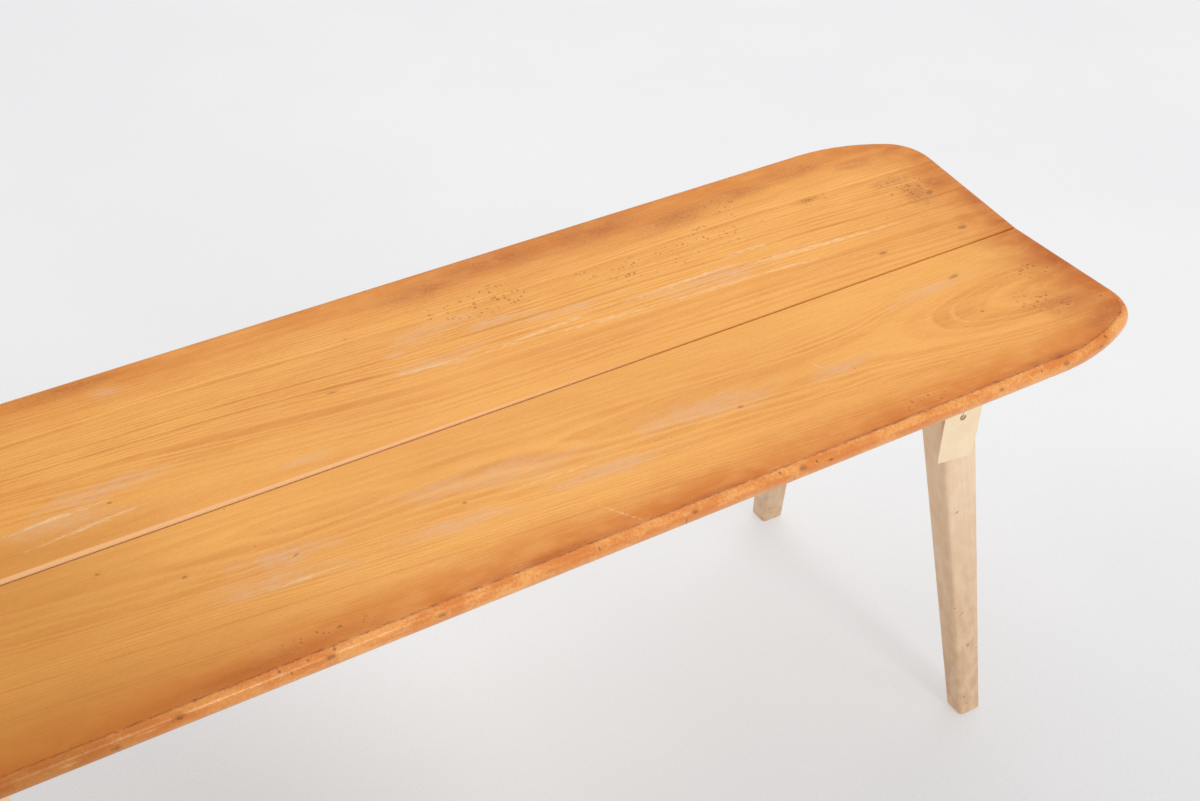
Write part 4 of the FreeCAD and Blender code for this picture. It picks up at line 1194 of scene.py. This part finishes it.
def leg_damage(finish, x, z, grain):
    # dents on the faces that look to the front, and dark specks all round
    tree = finish.tree
    fray = noise(tree, finish.place, 0.7, detail=3.0, roughness=0.6)
    facing = split(tree, put(tree, "NewGeometry").outputs["Normal"])[1]
    dents = times(tree, marks(tree, join(tree, x, z, 0.0), LEG_DENTS, fray, 0.8, 0.3),
                  reckon(tree, "LESS_THAN", facing, -0.7))
    specks = use(tree, SPECKS, Place=grain, Spacing=13.0, Size=1.5, Share=0.32)[0]
    return reckon(tree, "MAXIMUM", dents, times(tree, specks, 0.55))


def pale_birch():
    finish = new_finish("pale_birch")
    tree = finish.tree
    x, y, z = split(tree, finish.place)[:3]
    grain, slid_x, slid_y = leg_grain(tree, x, y, z)
    rings = use(tree, RINGS, Place=grain, Across=reckon(tree, "ADD", slid_x, BIRCH_PITH[0]),
                Depth=reckon(tree, "ADD", slid_y, BIRCH_PITH[1]), Ring=2.7, Waver=1.8, Soft=0.8, Seed=33.0)
    fibre = use(tree, FIBRE, Grain=grain, Length=22.0, Width=1.1)
    broad = use(tree, CLOUDS, Place=grain, Size=60.0, Stretch=(0.35, 1.0, 1.0), Seed=5.0)[0]
    blotch = use(tree, CLOUDS, Place=grain, Size=11.0, Stretch=(0.7, 1.0, 1.0), Seed=8.0)[0]
    deep = gained(tree, rings["Line"], 0.14, times(tree, broad, 0.35))
    deep = swayed(tree, deep, blotch, 0.5, 0.22)
    deep = reckon(tree, "MULTIPLY_ADD", minus(tree, fibre["Streak"], 0.5), 0.7, deep, clamp=True)
    finish.colour = tint(tree, deep, paint(247, 218, 184), paint(221, 181, 140))
    grime = times(tree, ramp_between(tree, z, 0.0, GRIME_TOP, 1.0, 0.0), gained(tree, blotch, 0.4, 0.6))
    lay(finish, times(tree, grime, 0.60), paint(190, 144, 98))
    lay(finish, times(tree, fibre["Pore"], 0.25), paint(170, 124, 84))
    dark = leg_damage(finish, x, z, grain)
    lay(finish, times(tree, dark, 0.55), KNOT_BROWN)
    # painted highlight: a pale line along the legs' rubbed arrises
    arris_wear_and_highlight = use(tree, ARRIS, Place=finish.place, Reach=2.0 * MM, Patchy=0.5)[0]
    lay(finish, times(tree, arris_wear_and_highlight, 0.55), paint(255, 238, 214))
    height = gained(tree, dark, -1.5, gained(tree, blotch, 0.3, fibre["Streak"]))
    return end_finish(finish, gained(tree, blotch, 0.12, 0.42), height, 0.45, 0.12)


birch = pale_birch()

# %% [markdown]
# ## Steel, card and cotton
#
# The screws are old steel, dull and brown in spots. The staple is bright wire gone grey. One function makes
# both, since they differ only in their tones, in how rusty they are and in how dull.

# %% Steel
RUST = paint(112, 66, 38)


def dull_steel(name, bright, dark, rust, roughness):
    finish = new_finish(name)
    tree = finish.tree
    spots = use(tree, CLOUDS, Place=finish.place, Size=1.6, Seed=1.0)[0]
    fine = noise(tree, finish.place, 3.0, detail=4.0, roughness=0.7)
    finish.colour = tint(tree, fine, paint(*dark), paint(*bright))
    rusty = ramp_between(tree, times(tree, spots, fine), 0.36, 0.62)
    lay(finish, times(tree, rusty, rust), RUST)
    feed(finish, Metallic=gained(tree, rusty, -0.7 * rust, 0.95))
    return end_finish(finish, gained(tree, spots, 0.22, roughness), fine, 0.4, 0.03)


screw_steel = dull_steel("screw_steel", (168, 164, 158), (112, 106, 100), 0.75, 0.34)
staple_steel = dull_steel("staple_wire", (196, 196, 194), (150, 148, 146), 0.35, 0.26)

# %% [markdown]
# The card is soft paper with visible pulp and a few flecks, browner at its edges, and dark in a ring
# round the hole: a painted shadow, so that the hole reads dark.

# %% Card
HOLE_MIDDLE = tuple(hung(0.0, 0.0, -HOLE_DROP))
HOLE_SHADOW_FROM = 0.3 * MM
HOLE_SHADOW_TO = 1.2 * MM


def distance_from(tree, place, spot):
    return put(tree, "VectorMath", {0: place, 1: spot}, operation="DISTANCE").outputs["Value"]


def tag_card():
    finish = new_finish("tag_card")
    tree, place = finish.tree, finish.place
    pulp = noise(tree, place, 1.4, detail=5.0, roughness=0.65)
    cloudy = use(tree, CLOUDS, Place=place, Size=14.0, Seed=6.0)[0]
    shade = gained(tree, cloudy, 0.4, times(tree, pulp, 0.45))
    finish.colour = tint(tree, shade, paint(255, 236, 202), paint(247, 218, 178))
    flecks = ramp_between(tree, noise(tree, place, 2.6), 0.66, 0.74)
    lay(finish, times(tree, flecks, 0.35), paint(196, 160, 118))
    from_hole = distance_from(tree, finish.metres, HOLE_MIDDLE)
    # painted shadow: a dark ring round the punched hole
    hole_painted_shadow = ramp_between(tree, from_hole, HOLE_RADIUS + HOLE_SHADOW_FROM, HOLE_RADIUS + HOLE_SHADOW_TO, 1.0, 0.0)
    lay(finish, times(tree, hole_painted_shadow, 0.75), paint(70, 54, 42))
    worn = use(tree, ARRIS, Place=place, Reach=0.6 * MM, Patchy=0.4)[0]
    lay(finish, times(tree, worn, 0.4), paint(206, 172, 128))
    return end_finish(finish, gained(tree, pulp, 0.12, 0.72), pulp, 0.5, 0.05)


card = tag_card()

# %% [markdown]
# The string is cotton, whose twist shows as slanting threads: a wave that runs slantwise round the string
# gives them, as colour and as bump. Twisting three real strands would be more work than this small a piece
# repays.

# %% Cotton
PLY_STEP = 0.9


def tag_cotton():
    finish = new_finish("tag_cotton")
    tree, place = finish.tree, finish.place
    x, y, z = split(tree, place)[:3]
    slant = gained(tree, reckon(tree, "ADD", x, y), 0.9, z)
    ply = reckon(tree, "SINE", times(tree, slant, 2 * math.pi / PLY_STEP))
    fuzz = noise(tree, place, 6.0, detail=3.0, roughness=0.7)
    thread = gained(tree, ply, 0.5, 0.5)
    shade = gained(tree, fuzz, 0.4, times(tree, thread, 0.5))
    finish.colour = tint(tree, shade, paint(232, 226, 214), paint(255, 254, 250))
    return end_finish(finish, gained(tree, fuzz, 0.1, 0.82), shade, 0.8, 0.1)


cotton = tag_cotton()

# %% [markdown]
# ## Put the finishes on
#
# A node from the frame keeps its mesh and only gets a new material in its slots. The pieces made here
# replace their plain solids, and ride on the same body: the tag, string and knot swing, all else stands
# still.

# %% Dress the frame's own pieces
FINISHES = {
    "seat_plank_rear": pine_rear, "seat_plank_front": pine_front, "tag_staple": staple_steel,
    "batten_left": pine_plain, "batten_middle": pine_plain, "batten_right": pine_plain,
}
for side in ("front_left", "front_right", "rear_left", "rear_right"):
    FINISHES["leg_" + side] = birch
    FINISHES["wedge_" + side] = birch
for name, finish in FINISHES.items():
    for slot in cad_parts[name].material_slots:
        slot.material = finish
print("dressed", len(FINISHES), "pieces of the frame")

# %% [markdown]
# The screws' tree needs only points. The outer battens have four screws each, in two lines, so that the two
# screws of a plank don't share a fibre of the batten, and the middle one has one screw for each plank. The
# result is made a plain mesh, and the modifier goes.

# %% The screws, one object for each batten
SCREW_HEIGHT = 392.937 * MM
SCREW_SEED = 7
OUTER_SPOTS = [(18.0 * MM, 45 * MM), (-18.0 * MM, 129 * MM)]
MIDDLE_SPOTS = [(0.0, 87 * MM)]


def screws_for(name, side, spots, seed):
    points = []
    for along, across in spots:
        for sign in (-1, 1):
            points.append((side * (BATTEN_MIDDLE * MM + along), sign * across, SCREW_HEIGHT))
    mesh = bpy.data.meshes.new(name + "_spots")
    mesh.from_pydata(points, [], [])
    holder = add_object(name + "_spots", mesh)
    modifier = holder.modifiers.new("screws", "NODES")
    modifier.node_group = slotted_screws
    values = dict(SCREW_TREE_SIZES, Seed=seed, Finish=screw_steel)
    for socket in slotted_screws.interface.items_tree:
        if socket.in_out == "INPUT" and socket.name in values:
            modifier[socket.identifier] = values[socket.name]
    screws = to_mesh(holder, "slotted_" + name)
    shade_smooth(screws, angle=35)
    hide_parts(name)
    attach(screws, "bench")
    return screws


for name, side, spots in (("screws_batten_left", -1, OUTER_SPOTS), ("screws_batten_middle", 0, MIDDLE_SPOTS),
                          ("screws_batten_right", 1, OUTER_SPOTS)):
    made = screws_for(name, side, spots, SCREW_SEED + side)
    print(name, len(made.data.polygons), "faces")

# %% [markdown]
# The tag, the string and the knot were modelled above. Now they get their card and cotton, ride on the
# swinging body and stand for their plain solids.

# %% The tag, its string and knot
for piece, finish, node, slot_name in ((tag, card, "paper_tag", "tag_card"),
                                       (string, cotton, "tag_string", "tag_cotton"),
                                       (knot, cotton, "tag_knot", "tag_cotton")):
    piece.data.materials.append(finish)
    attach(piece, "tag")
    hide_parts(node)
print("the string's exit", [round(value, 4) for value in string_route[0]])

# %% [markdown]
# ## The floor
#
# The bench stands on a pale studio floor with a little dust and grit. In a studio such a floor is lit on
# its own until it is nearly white, and the bench's shadow stays soft. Here the floor glows a little
# instead, as painted light, and the glow is dimmed by place: a painted shadow under the bench, and a
# painted falloff at the near side.

# %% Floor
FLOOR_SIZE = 14.0
FLOOR_GLOW = 0.495
FLOOR_SHADOWED_GLOW = 0.315
PAINTED_SHADOW_SPOT = (-0.30, 0.10, 0.0)
PAINTED_SHADOW_REACH = (0.08, 0.42)
NEAR_SPOT = (0.42, -0.70, 0.0)
NEAR_REACH = (0.2, 1.1)
NEAR_PAINTED_FALLOFF = 0.13
WHITE = (1.0, 1.0, 1.0, 1.0)


def studio_floor():
    finish = new_finish("studio_floor")
    tree, place = finish.tree, finish.place
    cloudy = use(tree, CLOUDS, Place=place, Size=420.0, Seed=3.0)[0]
    finish.colour = tint(tree, cloudy, paint(168, 168, 170), paint(164, 164, 167))
    dust = ramp_between(tree, noise(tree, place, 0.16), 0.72, 0.76)
    lay(finish, times(tree, dust, 0.25), paint(150, 146, 138))
    grit = ramp_between(tree, noise(tree, place, 0.4), 0.50, 0.72)
    lay(finish, times(tree, grit, 0.22), paint(128, 128, 130))
    # painted shadow: the floor's glow is lower under the bench
    under = ramp_between(tree, distance_from(tree, finish.metres, PAINTED_SHADOW_SPOT), *PAINTED_SHADOW_REACH,
                         FLOOR_SHADOWED_GLOW, FLOOR_GLOW)
    # painted falloff: the glow drops towards the near side
    painted_near_falloff = ramp_between(tree, distance_from(tree, finish.metres, NEAR_SPOT), *NEAR_REACH, NEAR_PAINTED_FALLOFF, 0.0)
    # the floor's glow is painted light; the floor is no lamp
    feed(finish, Base_Color=finish.colour, Roughness=gained(tree, cloudy, 0.1, 0.7),
         Emission_Strength=minus(tree, under, painted_near_falloff), Emission_Color=WHITE)
    return finish.material


floor_mesh = bpy.data.meshes.new("studio_floor")
reach = FLOOR_SIZE / 2
floor_mesh.from_pydata([(-reach, -reach, 0), (reach, -reach, 0), (reach, reach, 0), (-reach, reach, 0)], [],
                       [(0, 1, 2, 3)])
floor_mesh.materials.append(studio_floor())
floor = add_object("studio_floor", floor_mesh)
print("the floor is %.0f m wide" % FLOOR_SIZE)

# %% [markdown]
# ## The light
#
# A bright even sky gives most of the light. One wide lamp from the right and behind shapes the seat. A
# smaller one in front, aimed at the left half, makes the bright line on the round edge, and a weak one from
# the front right lifts the legs and the tag. One large lamp would be simpler, but it leaves the near legs
# too dark.

# %% Lights
SKY_STRENGTH = 0.58


def soft_lamp(name, place, aim, size, power):
    data = bpy.data.lights.new(name, "AREA")
    data.shape = "SQUARE"
    data.size = size
    data.energy = power
    lamp = add_object(name, data)
    lamp.location = place
    lamp.rotation_euler = (Vector(aim) - Vector(place)).to_track_quat("-Z", "Y").to_euler()
    print(name, "of %.1f m and %.1f W" % (size, power))


world = bpy.data.worlds.new("even_sky")
world.use_nodes = True
sky = world.node_tree.nodes["Background"]
sky.inputs["Color"].default_value = WHITE
sky.inputs["Strength"].default_value = SKY_STRENGTH
bpy.context.scene.world = world
soft_lamp("wide_lamp", (1.2, 1.1, 2.7), (0.3, 0.1, 0.2), 2.3, 27.0)
soft_lamp("edge_lamp", (0.38, -1.95, 2.05), (-0.25, -0.19, 0.43), 0.46, 15.0)
soft_lamp("front_lamp", (1.5, -2.1, 1.3), (0.45, -0.2, 0.25), 1.2, 7.5)
bpy.context.scene.view_settings.view_transform = "Standard"
